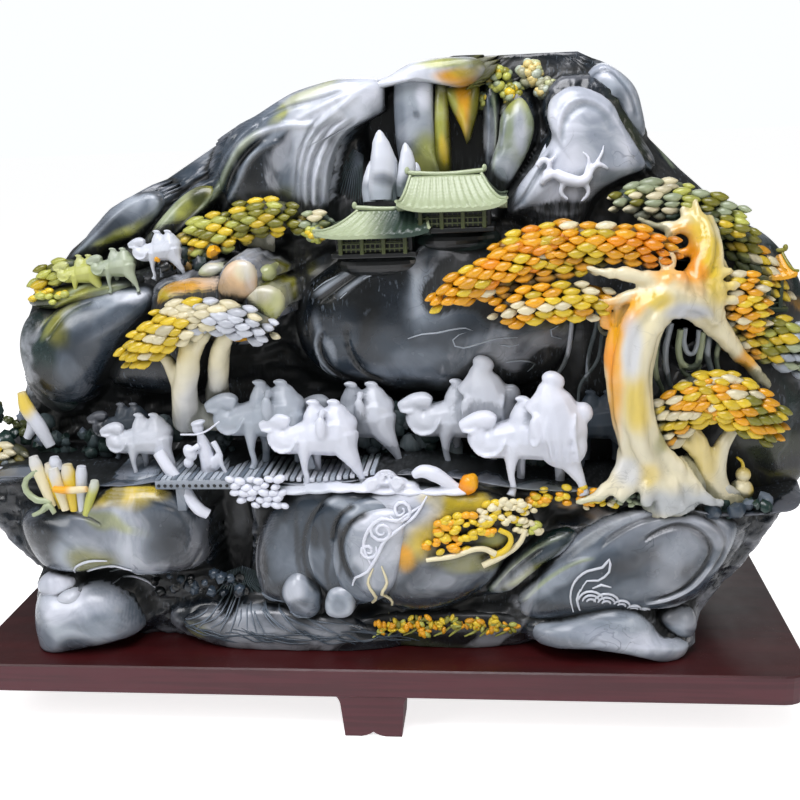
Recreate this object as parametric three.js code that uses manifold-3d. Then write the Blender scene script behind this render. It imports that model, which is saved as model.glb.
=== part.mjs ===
// A landscape carved from one boulder of banded hardstone, on its own lacquered wooden stand.
// A camel caravan crosses a ledge in front of rounded rocks, between a leaning pine and fan-shaped trees,
// below two tiled pavilions and a white peak.
// Millimetres, +Z up. X runs to the right and -Y towards the carved face.
// The origin is under the middle of the stand, where its feet meet the table.
// Places inside the carving are measured from the middle of the stand's board, with z above its top.
import * as THREE from "three";
import { mergeVertices } from "three/addons/utils/BufferGeometryUtils.js";
import Module from "manifold-3d";

const wasm = await Module();
wasm.setup();

// Driving sizes
const BOARD_WIDTH = 820;
const BOARD_DEPTH = 320;
const BOARD_THICKNESS = 30;
const BOARD_CORNER = 26;
const FOOT_HEIGHT = 44;
const FOOT_TOP_WIDTH = 66;
const FOOT_BOTTOM_WIDTH = 56;
const FOOT_DEPTH = 48;
const FOOT_CUSP = 5;
const FOOT_SETBACK = 3;
const SIDE_FOOT_X = 352;
const GLUE_GAP = 0.3;
const SHORTEST_EDGE = 0.01;
const ROCK_FACET = 9;
const THICK_TRUNK = 20;
const STONE_HEIGHT = 556;
const LEDGE_Z = 183;
const LEDGE_DROP = 32;
const LEDGE_DEPTH = 126;
const LOWER_DEPTH = 98;
const RECESS_DEPTH = 34;
const SUMMIT_DEPTH = 10;
const BACK_DEPTH = 104;
const BACK_SUMMIT_DEPTH = 34;

const STONE = new THREE.MeshStandardMaterial({ color: 0x7d858c, roughness: 0.3, metalness: 0 });
const LACQUER = new THREE.MeshStandardMaterial({ color: 0x45131c, roughness: 0.35, metalness: 0 });

// Half-width of the rough block on each side, as [height above the board, x] from the board to the summit
const LEFT_SIDE = [
  [0, -331], [22, -350], [62, -350], [86, -378], [110, -404], [140, -423], [165, -424], [182, -409],
  [222, -386], [256, -369], [290, -350], [360, -330], [388, -306], [430, -255], [450, -214], [486, -152],
  [518, -92], [534, -44], [544, 18], [STONE_HEIGHT, 66],
];
const RIGHT_SIDE = [
  [0, 300], [26, 333], [52, 350], [86, 372], [140, 402], [180, 420], [210, 429], [290, 428],
  [310, 418], [338, 400], [364, 376], [386, 360], [404, 347], [430, 320], [446, 302], [476, 272],
  [500, 260], [526, 248], [542, 234], [STONE_HEIGHT, 206],
];

// Rounded rocks of the carved face. Each is a dome on an oval plug: x and z are its middle, a and b its
// half sizes before it is turned by `turn` degrees, rim the depth of its edge in front of the mid-plane,
// lift the height of the dome.
const ROCKS = [
  { x: -278, z: 31, a: 62, b: 50, rim: 95, lift: 52 },
  { x: -308, z: 70, a: 23, b: 15, rim: 108, lift: 22 },
  { x: -235, z: 118, a: 84, b: 58, turn: -6, rim: 92, lift: 54 },
  { x: -370, z: 118, a: 42, b: 42, rim: 60, lift: 30 },
  { x: -64, z: 63, a: 23, b: 25, turn: 10, rim: 116, lift: 26 },
  { x: -70, z: 14, a: 92, b: 26, turn: -3, rim: 106, lift: 26 },
  { x: 89, z: 106, a: 80, b: 60, turn: -12, rim: 102, lift: 44 },
  { x: 144, z: 89, a: 49, b: 13, turn: 40, rim: 104, lift: 27 },
  { x: 168, z: 76, a: 56, b: 13, turn: 42, rim: 100, lift: 25 },
  { x: 73, z: 16, a: 92, b: 20, rim: 104, lift: 14 },
  { x: 264, z: 84, a: 114, b: 66, turn: 28, rim: 102, lift: 40 },
  { x: 238, z: 22, a: 82, b: 28, turn: -8, rim: 112, lift: 34 },
  { x: -225, z: 300, a: 108, b: 71, turn: 12, rim: 56, lift: 48 },
  { x: -312, z: 286, a: 38, b: 50, rim: 42, lift: 40 },
  { x: -123, z: 357, a: 68, b: 23, turn: 5, rim: 84, lift: 24 },
  { x: -103, z: 366, a: 27, b: 22, rim: 98, lift: 20 },
  { x: 60, z: 322, a: 124, b: 86, rim: 38, lift: 46 },
  { x: 204, z: 243, a: 47, b: 94, rim: 28, lift: 28 },
  { x: 352, z: 214, a: 72, b: 86, rim: 44, lift: 32 },
  { x: 350, z: 330, a: 62, b: 60, turn: -30, rim: 24, lift: 26 },
  { x: -270, z: 364, a: 58, b: 14, turn: 8, rim: 40, lift: 40 },
  { x: -88, z: 462, a: 108, b: 62, turn: 28, rim: 14, lift: 44 },
  { x: -40, z: 470, a: 62, b: 66, turn: 20, rim: 30, lift: 38 },
  { x: -212, z: 408, a: 52, b: 36, turn: 35, rim: 24, lift: 28 },
  { x: 52, z: 540, a: 72, b: 14, turn: 5, rim: 26, lift: 24 },
  { x: 144, z: 473, a: 13, b: 46, turn: -12, rim: 24, lift: 24 },
  { x: 207, z: 456, a: 54, b: 76, turn: -4, rim: 18, lift: 42 },
  { x: 224, z: 514, a: 32, b: 30, turn: -20, rim: 10, lift: 28 },
];

// Pillars that stand in the cave behind the pavilions
const PILLARS = [
  { x: 50, z: 488, a: 20, b: 54, rim: 14, lift: 26 },
  { x: 82, z: 476, a: 9, b: 46, rim: 14, lift: 20 },
  { x: 103, z: 488, a: 10, b: 52, rim: 12, lift: 20 },
];

// Overlapping shells on the boulder under the caravan: each starts further right and stands further out
const SHELLS = { count: 4, x: -29, z: 111, a: 88, b: 68, step: 16, shrink: 6, rim: 104, rise: 8, lift: 22 };

// Broad domes that leave the back a plain natural boulder
const BACK_ROCKS = [
  { x: -190, z: 130, a: 210, b: 140, rim: 68, lift: 42 },
  { x: 170, z: 150, a: 210, b: 170, turn: 14, rim: 62, lift: 48 },
  { x: 20, z: 380, a: 250, b: 130, turn: -4, rim: 36, lift: 44 },
];

// Hollows cut into the face: the gorge under the bridge, the cave behind the pillars, the cleft beside the
// peak and the dark arch behind the pine
const HOLLOWS = [
  { x: -140, z: 112, a: 20, b: 82, turn: -2, floor: 62 },
  { x: 62, z: 480, a: 62, b: 60, floor: -4 },
  { x: 124, z: 480, a: 9, b: 56, floor: 0 },
  { x: 306, z: 318, a: 34, b: 52, floor: 10 },
];

// Pads of overlapping leaf scales: x, z, a, b and turn as for a rock, depth of the pad's rim, dome of its
// middle above the rim, and the half width of one scale
const LEAF_PADS = [
  { x: 142, z: 380, a: 56, b: 16, turn: 14, depth: 108, dome: 16, leaf: 12 },
  { x: 222, z: 389, a: 58, b: 19, turn: 2, depth: 107, dome: 18, leaf: 12 },
  { x: 178, z: 341, a: 52, b: 17, turn: 6, depth: 110, dome: 18, leaf: 12 },
  { x: 292, z: 418, a: 62, b: 16, turn: -10, depth: 60, dome: 16, leaf: 12 },
  { x: 361, z: 364, a: 50, b: 13, turn: -46, depth: 42, dome: 14, leaf: 11 },
  { x: 346, z: 334, a: 23, b: 26, turn: 0, depth: 84, dome: 14, leaf: 12 },
  { x: 386, z: 292, a: 32, b: 22, turn: -24, depth: 70, dome: 16, leaf: 11 },
  { x: 296, z: 238, a: 36, b: 22, turn: 38, depth: 108, dome: 16, leaf: 13 },
  { x: 340, z: 240, a: 46, b: 22, turn: -26, depth: 106, dome: 18, leaf: 13 },
  { x: -176, z: 318, a: 46, b: 16, turn: 27, depth: 112, dome: 18, leaf: 11 },
  { x: -112, z: 332, a: 42, b: 16, turn: -14, depth: 114, dome: 16, leaf: 11 },
  { x: -112, z: 412, a: 54, b: 20, turn: 12, depth: 56, dome: 18, leaf: 13 },
  { x: -376, z: 190, a: 34, b: 16, turn: -8, depth: 70, dome: 18, leaf: 11 },
  { x: 75, z: 32, a: 72, b: 13, turn: 5, depth: 112, dome: 16, leaf: 12 },
];

// Trunks, limbs and roots, as stations [x, depth, z, radius]
const LIMBS = [
  [[292, 108, 150, 30], [276, 120, 172, 24], [254, 126, 212, 20], [243, 128, 264, 21], [248, 124, 306, 26],
    [268, 116, 340, 27], [292, 104, 352, 26], [314, 84, 344, 22]],
  [[302, 98, 346, 19], [330, 96, 312, 14], [350, 92, 282, 10], [382, 74, 258, 6]],
  [[296, 92, 352, 16], [312, 84, 384, 11], [304, 72, 408, 9], [286, 66, 420, 5]],
  [[286, 106, 360, 14], [244, 110, 376, 11], [206, 112, 384, 7]],
  [[284, 108, 346, 13], [240, 112, 346, 10], [204, 112, 341, 7]],
  [[262, 116, 164, 15], [236, 124, 151, 9], [205, 122, 142, 5]],
  [[300, 112, 160, 15], [322, 116, 150, 10], [352, 98, 152, 6]],
  [[334, 104, 150, 13], [320, 106, 182, 11], [308, 108, 212, 9], [322, 106, 240, 5]],
  [[-172, 84, 226, 16], [-168, 100, 262, 13], [-158, 112, 300, 12], [-172, 114, 322, 7]],
  [[-94, 30, 376, 11], [-100, 46, 398, 9], [-112, 56, 412, 7]],
  [[-146, 70, 244, 11], [-136, 92, 280, 9], [-122, 112, 320, 8]],
];

// The caravan on its ledge and one beast on the upper path: where each stands, its size against a camel
// 125 mm from tail to muzzle, and whether it is ridden
const CAMELS = [
  { x: -212, depth: 96, foot: 178, size: 0.74, rider: false },
  { x: -92, depth: 70, foot: 176, size: 1.06, rider: false },
  { x: -20, depth: 110, foot: 172, size: 1.0, rider: false },
  { x: 16, depth: 68, foot: 178, size: 1.0, rider: false },
  { x: 108, depth: 70, foot: 176, size: 1.02, rider: true },
  { x: 176, depth: 110, foot: 166, size: 1.1, rider: true },
  { x: -208, depth: 76, foot: 366, size: 0.72, rider: false },
];

// One camel facing -X on z = 0, as limbs of stations [x, y, z, radius]: rump to muzzle, humps and legs
const CAMEL_BODY = [[38, 0, 50, 10], [20, 0, 48, 20], [-20, 0, 45, 18], [-44, 0, 34, 9],
  [-60, 0, 43, 6.5], [-62, 0, 59, 8.5], [-80, 0, 54, 5]];
const CAMEL_HUMPS = [
  [[14, 0, 48, 18], [17, 0, 83, 6]],
  [[-10, 0, 48, 17], [-13, 0, 84, 6]],
];
const CAMEL_LEGS = [
  [[-22, -9, 44, 11], [-25, -8, 0, 5.5]],
  [[-14, 8, 44, 10], [-12, 8, 0, 5.5]],
  [[23, -9, 50, 15], [31, -8, 20, 5.5], [27, -8, 0, 5.5]],
  [[19, 8, 44, 12], [17, 8, 0, 5.5]],
];
const RIDER = [[6, -2, 60, 10], [7, -2, 80, 10], [1, -2, 94, 5], [-1, -2, 104, 7.5], [-1, -2, 112, 5]];

// A person on foot in a wide robe, leading the caravan
const WALKER = { x: -151, depth: 110, foot: 177, size: 0.62 };
const WALKER_BODY = [[2, 0, 0, 15], [1, 0, 34, 13], [-3, 0, 60, 13], [-7, 0, 68, 6], [-8, 0, 80, 10],
  [-8, 0, 92, 6]];

// Stone pillars standing free in front of the cave, as [x, depth, foot, height, half width]
const PINNACLES = [
  [25, 62, 432, 62, 13],
  [14, 60, 430, 36, 8],
  [47, 62, 434, 48, 9],
];

// Round bushes on the summit, the gourd by the pine and a loose pebble
const BUSHES = [
  [132, 12, 534, 13], [146, 16, 520, 12], [161, 12, 538, 14], [176, 16, 524, 13],
  [352, 98, 160, 12], [352, 96, 174, 6], [92, 116, 182, 9], [-38, 64, 404, 12],
];

// Tiled pavilions: the middle of each hall and its floor, the hall's width, depth and wall height, how far the
// eaves reach past it, and the rise and ridge length of its roof
const PAVILIONS = [
  { x: 86, depth: 68, floor: 401, wide: 72, deep: 34, wall: 24, overhang: 14, rise: 36, ridge: 60 },
  { x: -2, depth: 74, floor: 378, wide: 50, deep: 30, wall: 22, overhang: 11, rise: 30, ridge: 32 },
  { x: 371, depth: 37, floor: 322, wide: 40, deep: 30, wall: 28, overhang: 9, rise: 18, ridge: 40 },
];
const PLINTH = 12;
const POST = 6;
const POST_INSET = 0.74;

// A row of stakes at the left and a plank bridge over the gorge
const STAKES = { count: 6, x: -312, pitch: 12.5, depth: 124, foot: 150, height: 52, radius: 6.5 };
const BRIDGE = { left: -196, right: -96, back: 58, front: 136, top: 184, thickness: 9 };

// Joins a geometry's shared corners and makes it a solid.
function solid(geometry) {
  geometry.deleteAttribute("normal");
  geometry.deleteAttribute("uv");
  const merged = mergeVertices(geometry, 1e-3);
  return new wasm.Manifold(
    new wasm.Mesh({
      numProp: 3,
      vertProperties: merged.attributes.position.array,
      triVerts: new Uint32Array(merged.index.array),
      tolerance: SHORTEST_EDGE,
    }),
  );
}

// Turns a solid back into a three.js geometry.
function geometryOf(manifold) {
  const mesh = manifold.getMesh();
  const positions = new Float32Array(mesh.numVert * 3);
  for (let i = 0; i < mesh.numVert; i++) {
    positions.set(mesh.vertProperties.subarray(i * mesh.numProp, i * mesh.numProp + 3), i * 3);
  }
  return new THREE.BufferGeometry()
    .setAttribute("position", new THREE.BufferAttribute(positions, 3))
    .setIndex(new THREE.BufferAttribute(mesh.triVerts, 1));
}

const unite = (solids) => solids.reduce((whole, next) => whole.add(next));

// x of a side at height z, straight between the rows of its table.
function sideAt(side, z) {
  const above = Math.max(1, side.findIndex(([height]) => height >= z));
  const [z0, x0] = side[above - 1];
  const [z1, x1] = side[above];
  return x0 + ((x1 - x0) * (z - z0)) / (z1 - z0);
}

const smooth = (low, high, value) => THREE.MathUtils.smoothstep(value, low, high);

// How far the caravan's ledge lies above or below its usual height: it falls towards the pine's roots and
// its edge is uneven.
const ledgeRise = (x) => 5 * Math.sin(x / 31) - LEDGE_DROP * smooth(90, 340, x);

// Depth of the plain face in front of the mid-plane, before any rock is added to it. Below the caravan it
// leans out to the edge of the ledge.
function faceDepth(z) {
  if (z <= LEDGE_Z) return THREE.MathUtils.lerp(LOWER_DEPTH, LEDGE_DEPTH, smooth(130, LEDGE_Z, z));
  return THREE.MathUtils.lerp(RECESS_DEPTH, SUMMIT_DEPTH, smooth(340, STONE_HEIGHT, z));
}

// Depth of the back behind the mid-plane.
const backDepth = (z) => THREE.MathUtils.lerp(BACK_DEPTH, BACK_SUMMIT_DEPTH, smooth(60, STONE_HEIGHT, z));

// A closed solid through rings of equal length, with flat ends.
function loft(positions, ring) {
  const last = positions.length / 3 - ring;
  const index = [];
  for (let start = 0; start < last; start += ring) {
    for (let k = 0; k < ring; k++) {
      const a = start + k;
      const b = start + ((k + 1) % ring);
      index.push(a, b, b + ring, a, b + ring, a + ring);
    }
  }
  for (let k = 1; k < ring - 1; k++) {
    index.push(0, k + 1, k, last, last + k, last + k + 1);
  }
  const geometry = new THREE.BufferGeometry()
    .setAttribute("position", new THREE.Float32BufferAttribute(positions, 3))
    .setIndex(index);
  return solid(geometry);
}

// The rough block: rows of face and back stations, drawn together at the sides and over the summit. The
// rows near the ledge rise and fall with it.
function roughBlock() {
  const heights = [0, 22, 52, 98, 140, LEDGE_Z - 3, LEDGE_Z + 3, 222, 290, 345, 388, 430, 486, 520, 542,
    STONE_HEIGHT];
  const columns = 9;
  const ring = 2 * columns;
  const positions = [];
  for (const height of heights) {
    const left = sideAt(LEFT_SIDE, height);
    const right = sideAt(RIGHT_SIDE, height);
    const round = THREE.MathUtils.lerp(18, 46, height / STONE_HEIGHT);
    const crown = Math.sqrt(Math.max(0.08, 1 - smooth(470, STONE_HEIGHT + 8, height) ** 2));
    const near = Math.max(0, 1 - Math.abs(height - LEDGE_Z) / 130);
    for (let k = 0; k < ring; k++) {
      const front = k < columns;
      const share = front ? (k + 0.5) / columns : 1 - (k - columns + 0.5) / columns;
      const x = THREE.MathUtils.lerp(left, right, 0.5 - 0.5 * Math.cos(Math.PI * share));
      const inset = Math.min(1, Math.min(x - left, right - x) / round);
      const taper = Math.sqrt(1 - (1 - inset) ** 2) * crown;
      const y = front ? -faceDepth(height) * taper : backDepth(height) * taper;
      positions.push(x, y, height + (front ? near * ledgeRise(x) : 0));
    }
  }
  return loft(positions, ring);
}

// A dome on an oval plug that points out of the face, or out of the back when side is 1. A bigger rock is
// rounder.
function rock({ x, z, a, b, turn = 0, rim, lift, root = Math.max(rim - 74, -8) }, phase, side = -1) {
  const size = Math.sqrt(a * b);
  const sides = THREE.MathUtils.clamp(Math.round(size / ROCK_FACET), 6, 10);
  const steps = size > 60 ? 3 : 2;
  const profile = [new THREE.Vector2(0, root), new THREE.Vector2(1, root)];
  for (let i = 0; i <= steps; i++) {
    const angle = (i / steps) * (Math.PI / 2);
    profile.push(new THREE.Vector2(Math.cos(angle), rim + lift * Math.sin(angle)));
  }
  profile[profile.length - 1].x = 0;
  const lathe = new THREE.LatheGeometry(profile, sides);
  const place = lathe.attributes.position;
  for (let i = 0; i < place.count; i++) {
    const around = Math.atan2(place.getZ(i), place.getX(i));
    const wobble = 1 + 0.05 * Math.sin(2 * around + phase) + 0.04 * Math.sin(3 * around + 2 * phase);
    place.setX(i, place.getX(i) * wobble);
    place.setZ(i, place.getZ(i) * wobble);
  }
  lathe.scale(a, 1, b);
  if (side < 0) lathe.rotateX(Math.PI);
  lathe.rotateY(THREE.MathUtils.degToRad(-turn));
  lathe.translate(x, 0, z);
  return solid(lathe);
}

// An oval ball, turned in the plane of the face.
function oval(x, y, z, halfX, halfY, halfZ, turn = 0, across = 6, rings = 3) {
  const ball = new THREE.SphereGeometry(1, across, rings);
  ball.rotateX(Math.PI / 2);
  ball.scale(halfX, halfY, halfZ);
  ball.rotateY(THREE.MathUtils.degToRad(-turn));
  ball.translate(x, y, z);
  return solid(ball);
}

// A tapering round limb through stations [x, y, z, radius].
function limb(stations, sides) {
  const curve = new THREE.CatmullRomCurve3(stations.map(([x, y, z]) => new THREE.Vector3(x, y, z)));
  const rings = stations.length - 1;
  const positions = [];
  for (let i = 0; i <= rings; i++) {
    const radius = stations[i][3];
    const along = curve.getTangent(i / rings);
    const across = new THREE.Vector3(0, 1, 0).projectOnPlane(along).normalize();
    const up = along.clone().cross(across);
    for (let k = 0; k < sides; k++) {
      const angle = ((k + 0.5) / sides) * 2 * Math.PI;
      const place = curve.getPoint(i / rings);
      place.addScaledVector(across, radius * Math.cos(angle));
      place.addScaledVector(up, radius * Math.sin(angle));
      positions.push(place.x, place.y, place.z);
    }
  }
  return loft(positions, sides);
}

// A trunk, limb or root from its stations [x, depth, z, radius]. The thick trunk is rounder than the rest.
function branch(stations) {
  const round = stations[0][3] > THICK_TRUNK ? 7 : 4;
  return limb(stations.map(([x, depth, z, radius]) => [x, -depth, z, radius]), round);
}

// A lens-shaped pad of leaves. Its face is rows of overlapping leaves: each row has a lip that hangs over
// the row below, and the leaves of neighbouring rows are staggered.
function leafPad({ x, z, a, b, turn, depth, dome, leaf }) {
  const angle = THREE.MathUtils.degToRad(turn);
  const rows = Math.max(2, Math.round((1.1 * b) / leaf));
  const columns = 2 * Math.max(2, Math.round((0.62 * a) / leaf));
  const positions = [];
  const place = (u, out, w) => positions.push(
    x + u * Math.cos(angle) - w * Math.sin(angle),
    -depth - out,
    z + u * Math.sin(angle) + w * Math.cos(angle),
  );
  for (let column = 0; column <= columns; column++) {
    const share = -0.98 + (1.96 * column) / columns;
    const tall = b * Math.sqrt(1 - share ** 4);
    place(a * share, -dome * (tall / b), 0);
    for (let row = rows - 1; row >= 0; row--) {
      const tip = (row + column) % 2;
      const low = (2 * (row + 0.25 - 0.3 * tip)) / rows - 1;
      const high = (2 * (row + 0.8 - 0.1 * tip)) / rows - 1;
      const swell = dome * Math.sqrt(Math.max(0.1, 1 - low * low)) * (tall / b);
      place(a * share, swell - 4, tall * high);
      place(a * share, swell + 2 + 3 * tip, tall * low);
    }
  }
  return loft(positions, 2 * rows + 1);
}

// Limbs of a figure that is drawn facing -X on z = 0, set down at its place and size.
function figure({ x, depth, foot, size }, limbs, sides) {
  return limbs.map((stations) => limb(
    stations.map(([px, py, pz, radius]) => [x + px * size, -depth + py * size, foot + pz * size, radius * size]),
    sides,
  ));
}

function camel(place) {
  const parts = [
    ...figure(place, [CAMEL_BODY], 5),
    ...figure(place, CAMEL_HUMPS, 4),
    ...figure(place, CAMEL_LEGS, 3),
  ];
  return place.rider ? parts.concat(figure(place, [RIDER], 5)) : parts;
}

// A tapering pinnacle with a rounded tip.
function pinnacle([x, depth, foot, height, half]) {
  const profile = [[0, -12], [1, -12], [1, 0.35 * height], [0.82, 0.68 * height], [0.45, 0.92 * height],
    [0, height]];
  const lathe = new THREE.LatheGeometry(profile.map(([r, h]) => new THREE.Vector2(r * half, h)), 5);
  lathe.rotateX(Math.PI / 2);
  lathe.translate(x, -depth, foot);
  return solid(lathe);
}

const box = (x, y, z, width, depth, height) =>
  solid(new THREE.BoxGeometry(width, depth, height).translate(x, y, z));

// A hipped roof with hollow slopes and lifted corners, on a hall with a plinth and two posts in front.
function pavilion({ x, depth, floor, wide, deep, wall, overhang, rise, ridge }) {
  const eaves = floor + wall;
  const halfX = wide / 2 + overhang;
  const halfY = deep / 2 + overhang;
  const levels = [[-0.1, 0.98, 0.98], [0, 1, 1], [0.2, 0.78, 0.66], [0.52, 0.62, 0.36], [1, ridge / 2 / halfX, 0.1]];
  const around = [[-1, -1], [0, -1], [1, -1], [1, 0], [1, 1], [0, 1], [-1, 1], [-1, 0]];
  const positions = [];
  for (const [share, wider, deeper] of levels) {
    for (const [across, away] of around) {
      const lift = share <= 0 && across * away !== 0 ? 0.22 : 0;
      positions.push(x + across * halfX * wider, -depth + away * halfY * deeper, eaves + rise * (share + lift));
    }
  }
  const parts = [
    loft(positions, around.length),
    box(x, -depth, floor + wall / 2, wide, deep, wall + 4),
    box(x, -depth, floor - PLINTH / 2, 2 * halfX, 2 * halfY, PLINTH),
  ];
  for (const side of [-1, 1]) {
    parts.push(box(x + side * 0.4 * wide, -depth - POST_INSET * halfY, floor + wall / 2, POST, POST, wall + 4));
  }
  return parts;
}

function fence() {
  const parts = [box(-283, -116, 146, 80, 34, 14)];
  for (let i = 0; i < STAKES.count; i++) {
    const x = STAKES.x + i * STAKES.pitch;
    const tilt = (STAKES.count / 2 - i) * 1.6;
    const high = STAKES.foot + STAKES.height - 5 * (i % 3);
    parts.push(limb([[x, -STAKES.depth, STAKES.foot - 8, STAKES.radius * 0.8],
      [x - tilt, -STAKES.depth, high, STAKES.radius]], 4));
  }
  return parts;
}

function bridge() {
  const { left, right, back, front, top, thickness } = BRIDGE;
  return [
    box((left + right) / 2, -(front + back) / 2, top - thickness / 2, right - left, front - back, thickness),
    box(-174, -126, top - 18, 9, 9, 30),
  ];
}

function shells() {
  const parts = [];
  for (let i = 0; i < SHELLS.count; i++) {
    const a = SHELLS.a - (i * SHELLS.step) / 2;
    parts.push(rock({ x: SHELLS.x + (i * SHELLS.step) / 2, z: SHELLS.z + 3 * i, a, b: SHELLS.b - i * SHELLS.shrink,
      rim: SHELLS.rim + i * SHELLS.rise, lift: SHELLS.lift - i }, 0));
  }
  return parts;
}

// Everything the carver left standing on one stone. Closed-in pockets between touching parts are filled,
// because only the outermost skin is kept.
function carvedStone() {
  let body = unite([roughBlock(), ...BACK_ROCKS.map((r, i) => rock({ root: 0, ...r }, i, 1))]);
  body = unite([body, ...ROCKS.map((r, i) => rock(r, i))]);
  for (const { x, z, a, b, turn = 0, floor } of HOLLOWS) {
    body = body.subtract(rock({ x, z, a, b, turn, rim: 200, lift: 10, root: floor }, 1));
  }
  const added = [
    ...shells(),
    ...PILLARS.map((r, i) => rock(r, i)),
    ...LEAF_PADS.map(leafPad),
    ...LIMBS.map(branch),
    ...CAMELS.flatMap(camel),
    ...figure(WALKER, [WALKER_BODY], 6),
    ...PINNACLES.map(pinnacle),
    ...BUSHES.map(([x, depth, z, radius]) => oval(x, -depth, z, radius, radius, radius)),
    ...PAVILIONS.flatMap(pavilion),
    ...fence(),
    ...bridge(),
  ];
  const below = box(0, 0, -BOARD_DEPTH / 2, 2 * BOARD_WIDTH, 2 * BOARD_DEPTH, BOARD_DEPTH);
  body = unite([body, ...added]).subtract(below);
  const skins = body.decompose().sort((p, q) => q.volume() - p.volume());
  return geometryOf(skins[0]);
}

// A board with rounded corners.
function board() {
  const halfX = BOARD_WIDTH / 2;
  const halfY = BOARD_DEPTH / 2;
  const outline = new THREE.Shape();
  outline.moveTo(-halfX + BOARD_CORNER, -halfY);
  outline.lineTo(halfX - BOARD_CORNER, -halfY);
  outline.absarc(halfX - BOARD_CORNER, -halfY + BOARD_CORNER, BOARD_CORNER, -Math.PI / 2, 0);
  outline.absarc(halfX - BOARD_CORNER, halfY - BOARD_CORNER, BOARD_CORNER, 0, Math.PI / 2);
  outline.absarc(-halfX + BOARD_CORNER, halfY - BOARD_CORNER, BOARD_CORNER, Math.PI / 2, Math.PI);
  outline.absarc(-halfX + BOARD_CORNER, -halfY + BOARD_CORNER, BOARD_CORNER, Math.PI, 1.5 * Math.PI);
  return new THREE.ExtrudeGeometry(outline, {
    depth: BOARD_THICKNESS - 3, bevelThickness: 1.5, bevelSize: 1.5, bevelOffset: -1.5, bevelSegments: 1,
    curveSegments: 3,
  }).translate(0, 0, 1.5);
}

// A tapering block foot with a small cusp cut into its lower edge. It faces -Y.
function foot() {
  const top = FOOT_TOP_WIDTH / 2;
  const bottom = FOOT_BOTTOM_WIDTH / 2;
  const outline = new THREE.Shape();
  outline.moveTo(-bottom, 0);
  outline.lineTo(-bottom * 0.42, 0);
  outline.quadraticCurveTo(-bottom * 0.12, FOOT_CUSP * 0.3, 0, FOOT_CUSP);
  outline.quadraticCurveTo(bottom * 0.12, FOOT_CUSP * 0.3, bottom * 0.42, 0);
  outline.lineTo(bottom, 0);
  outline.lineTo(top - 2, FOOT_HEIGHT - 8);
  outline.quadraticCurveTo(top - 1, FOOT_HEIGHT - 3, top + 2, FOOT_HEIGHT - GLUE_GAP);
  outline.lineTo(-top - 2, FOOT_HEIGHT - GLUE_GAP);
  outline.quadraticCurveTo(-top + 1, FOOT_HEIGHT - 3, -top + 2, FOOT_HEIGHT - 8);
  outline.closePath();
  const block = new THREE.ExtrudeGeometry(outline, { depth: FOOT_DEPTH, bevelEnabled: false, curveSegments: 3 });
  return block.rotateX(Math.PI / 2).translate(0, FOOT_DEPTH / 2, 0);
}

const sculpture = new THREE.Group();

function add(name, geometry, material, place, turn = 0) {
  const mesh = new THREE.Mesh(geometry, material);
  mesh.name = name;
  mesh.position.set(...place);
  mesh.rotation.z = turn;
  sculpture.add(mesh);
}

const stone = carvedStone();
stone.computeBoundingBox();
const middle = stone.boundingBox.getCenter(new THREE.Vector3());
const footInset = BOARD_DEPTH / 2 - FOOT_DEPTH / 2 - FOOT_SETBACK;
add("carved_stone", stone, STONE, [-middle.x, 0, FOOT_HEIGHT + BOARD_THICKNESS + GLUE_GAP]);
add("stand_board", board(), LACQUER, [0, 0, FOOT_HEIGHT]);
add("foot_front", foot(), LACQUER, [0, -footInset, 0]);
add("foot_back", foot(), LACQUER, [0, footInset, 0], Math.PI);
add("foot_left", foot(), LACQUER, [-SIDE_FOOT_X, 0, 0], -Math.PI / 2);
add("foot_right", foot(), LACQUER, [SIDE_FOOT_X, 0, 0], Math.PI / 2);

export default sculpture;
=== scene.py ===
"""Dresses the carved stone boulder: a landscape cut from one block of banded hardstone, on a lacquered stand.

A piece is modelled in millimetres in the carving's own space: x runs right from the middle of the stand's
board, y runs into the stone, and z is the height above the board. Places are given as (x, depth, z), where
depth is the distance in front of the stone's mid-plane. A finished piece is then set in the frame, in metres.

Tables of places, tones, paints, strokes and rocks are written as text, which spots, hues, shades, strokes and
rocks read.
"""

import logging
import math
from dataclasses import dataclass
from enum import Enum
from typing import Callable, Iterable, Optional, Sequence

import bpy
import numpy as np
from mathutils import Matrix, Vector


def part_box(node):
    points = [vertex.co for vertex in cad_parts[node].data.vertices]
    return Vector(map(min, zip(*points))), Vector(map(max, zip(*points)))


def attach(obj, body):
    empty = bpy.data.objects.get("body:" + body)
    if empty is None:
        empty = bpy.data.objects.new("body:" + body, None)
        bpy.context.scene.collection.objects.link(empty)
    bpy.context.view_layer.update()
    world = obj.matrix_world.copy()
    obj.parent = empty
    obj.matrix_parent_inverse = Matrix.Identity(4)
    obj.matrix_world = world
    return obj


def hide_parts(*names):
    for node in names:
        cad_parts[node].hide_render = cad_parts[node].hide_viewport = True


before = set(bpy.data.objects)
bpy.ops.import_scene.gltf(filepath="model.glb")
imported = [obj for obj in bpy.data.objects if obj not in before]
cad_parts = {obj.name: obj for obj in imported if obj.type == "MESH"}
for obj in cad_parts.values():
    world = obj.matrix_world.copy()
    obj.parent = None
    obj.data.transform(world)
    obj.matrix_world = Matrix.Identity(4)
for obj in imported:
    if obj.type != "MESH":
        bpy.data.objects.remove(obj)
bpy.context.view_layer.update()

MM = 0.001
WELD = 0.001
ROOT_LENGTH = 74
DEEPEST_ROOT = -8
NOWHERE = -99
LEDGE_HEIGHT = 183
SUMMIT_HEIGHT = 556
FACE_DEPTH = 96.0
RECESS_DEPTH = 34
SHELL_DEPTH = 102
UPPER_ROCKS = 9
EAVES_CURL = 0.26
SIDE_SHIFT = -2.965
STONE = "carved_stone"
BOARD_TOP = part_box(STONE)[0].z / MM
LOG = logging.getLogger("carved_stone")

Spot = tuple[float, float, float]
Station = tuple[float, float, float, float]
Piece = bpy.types.Object


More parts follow.
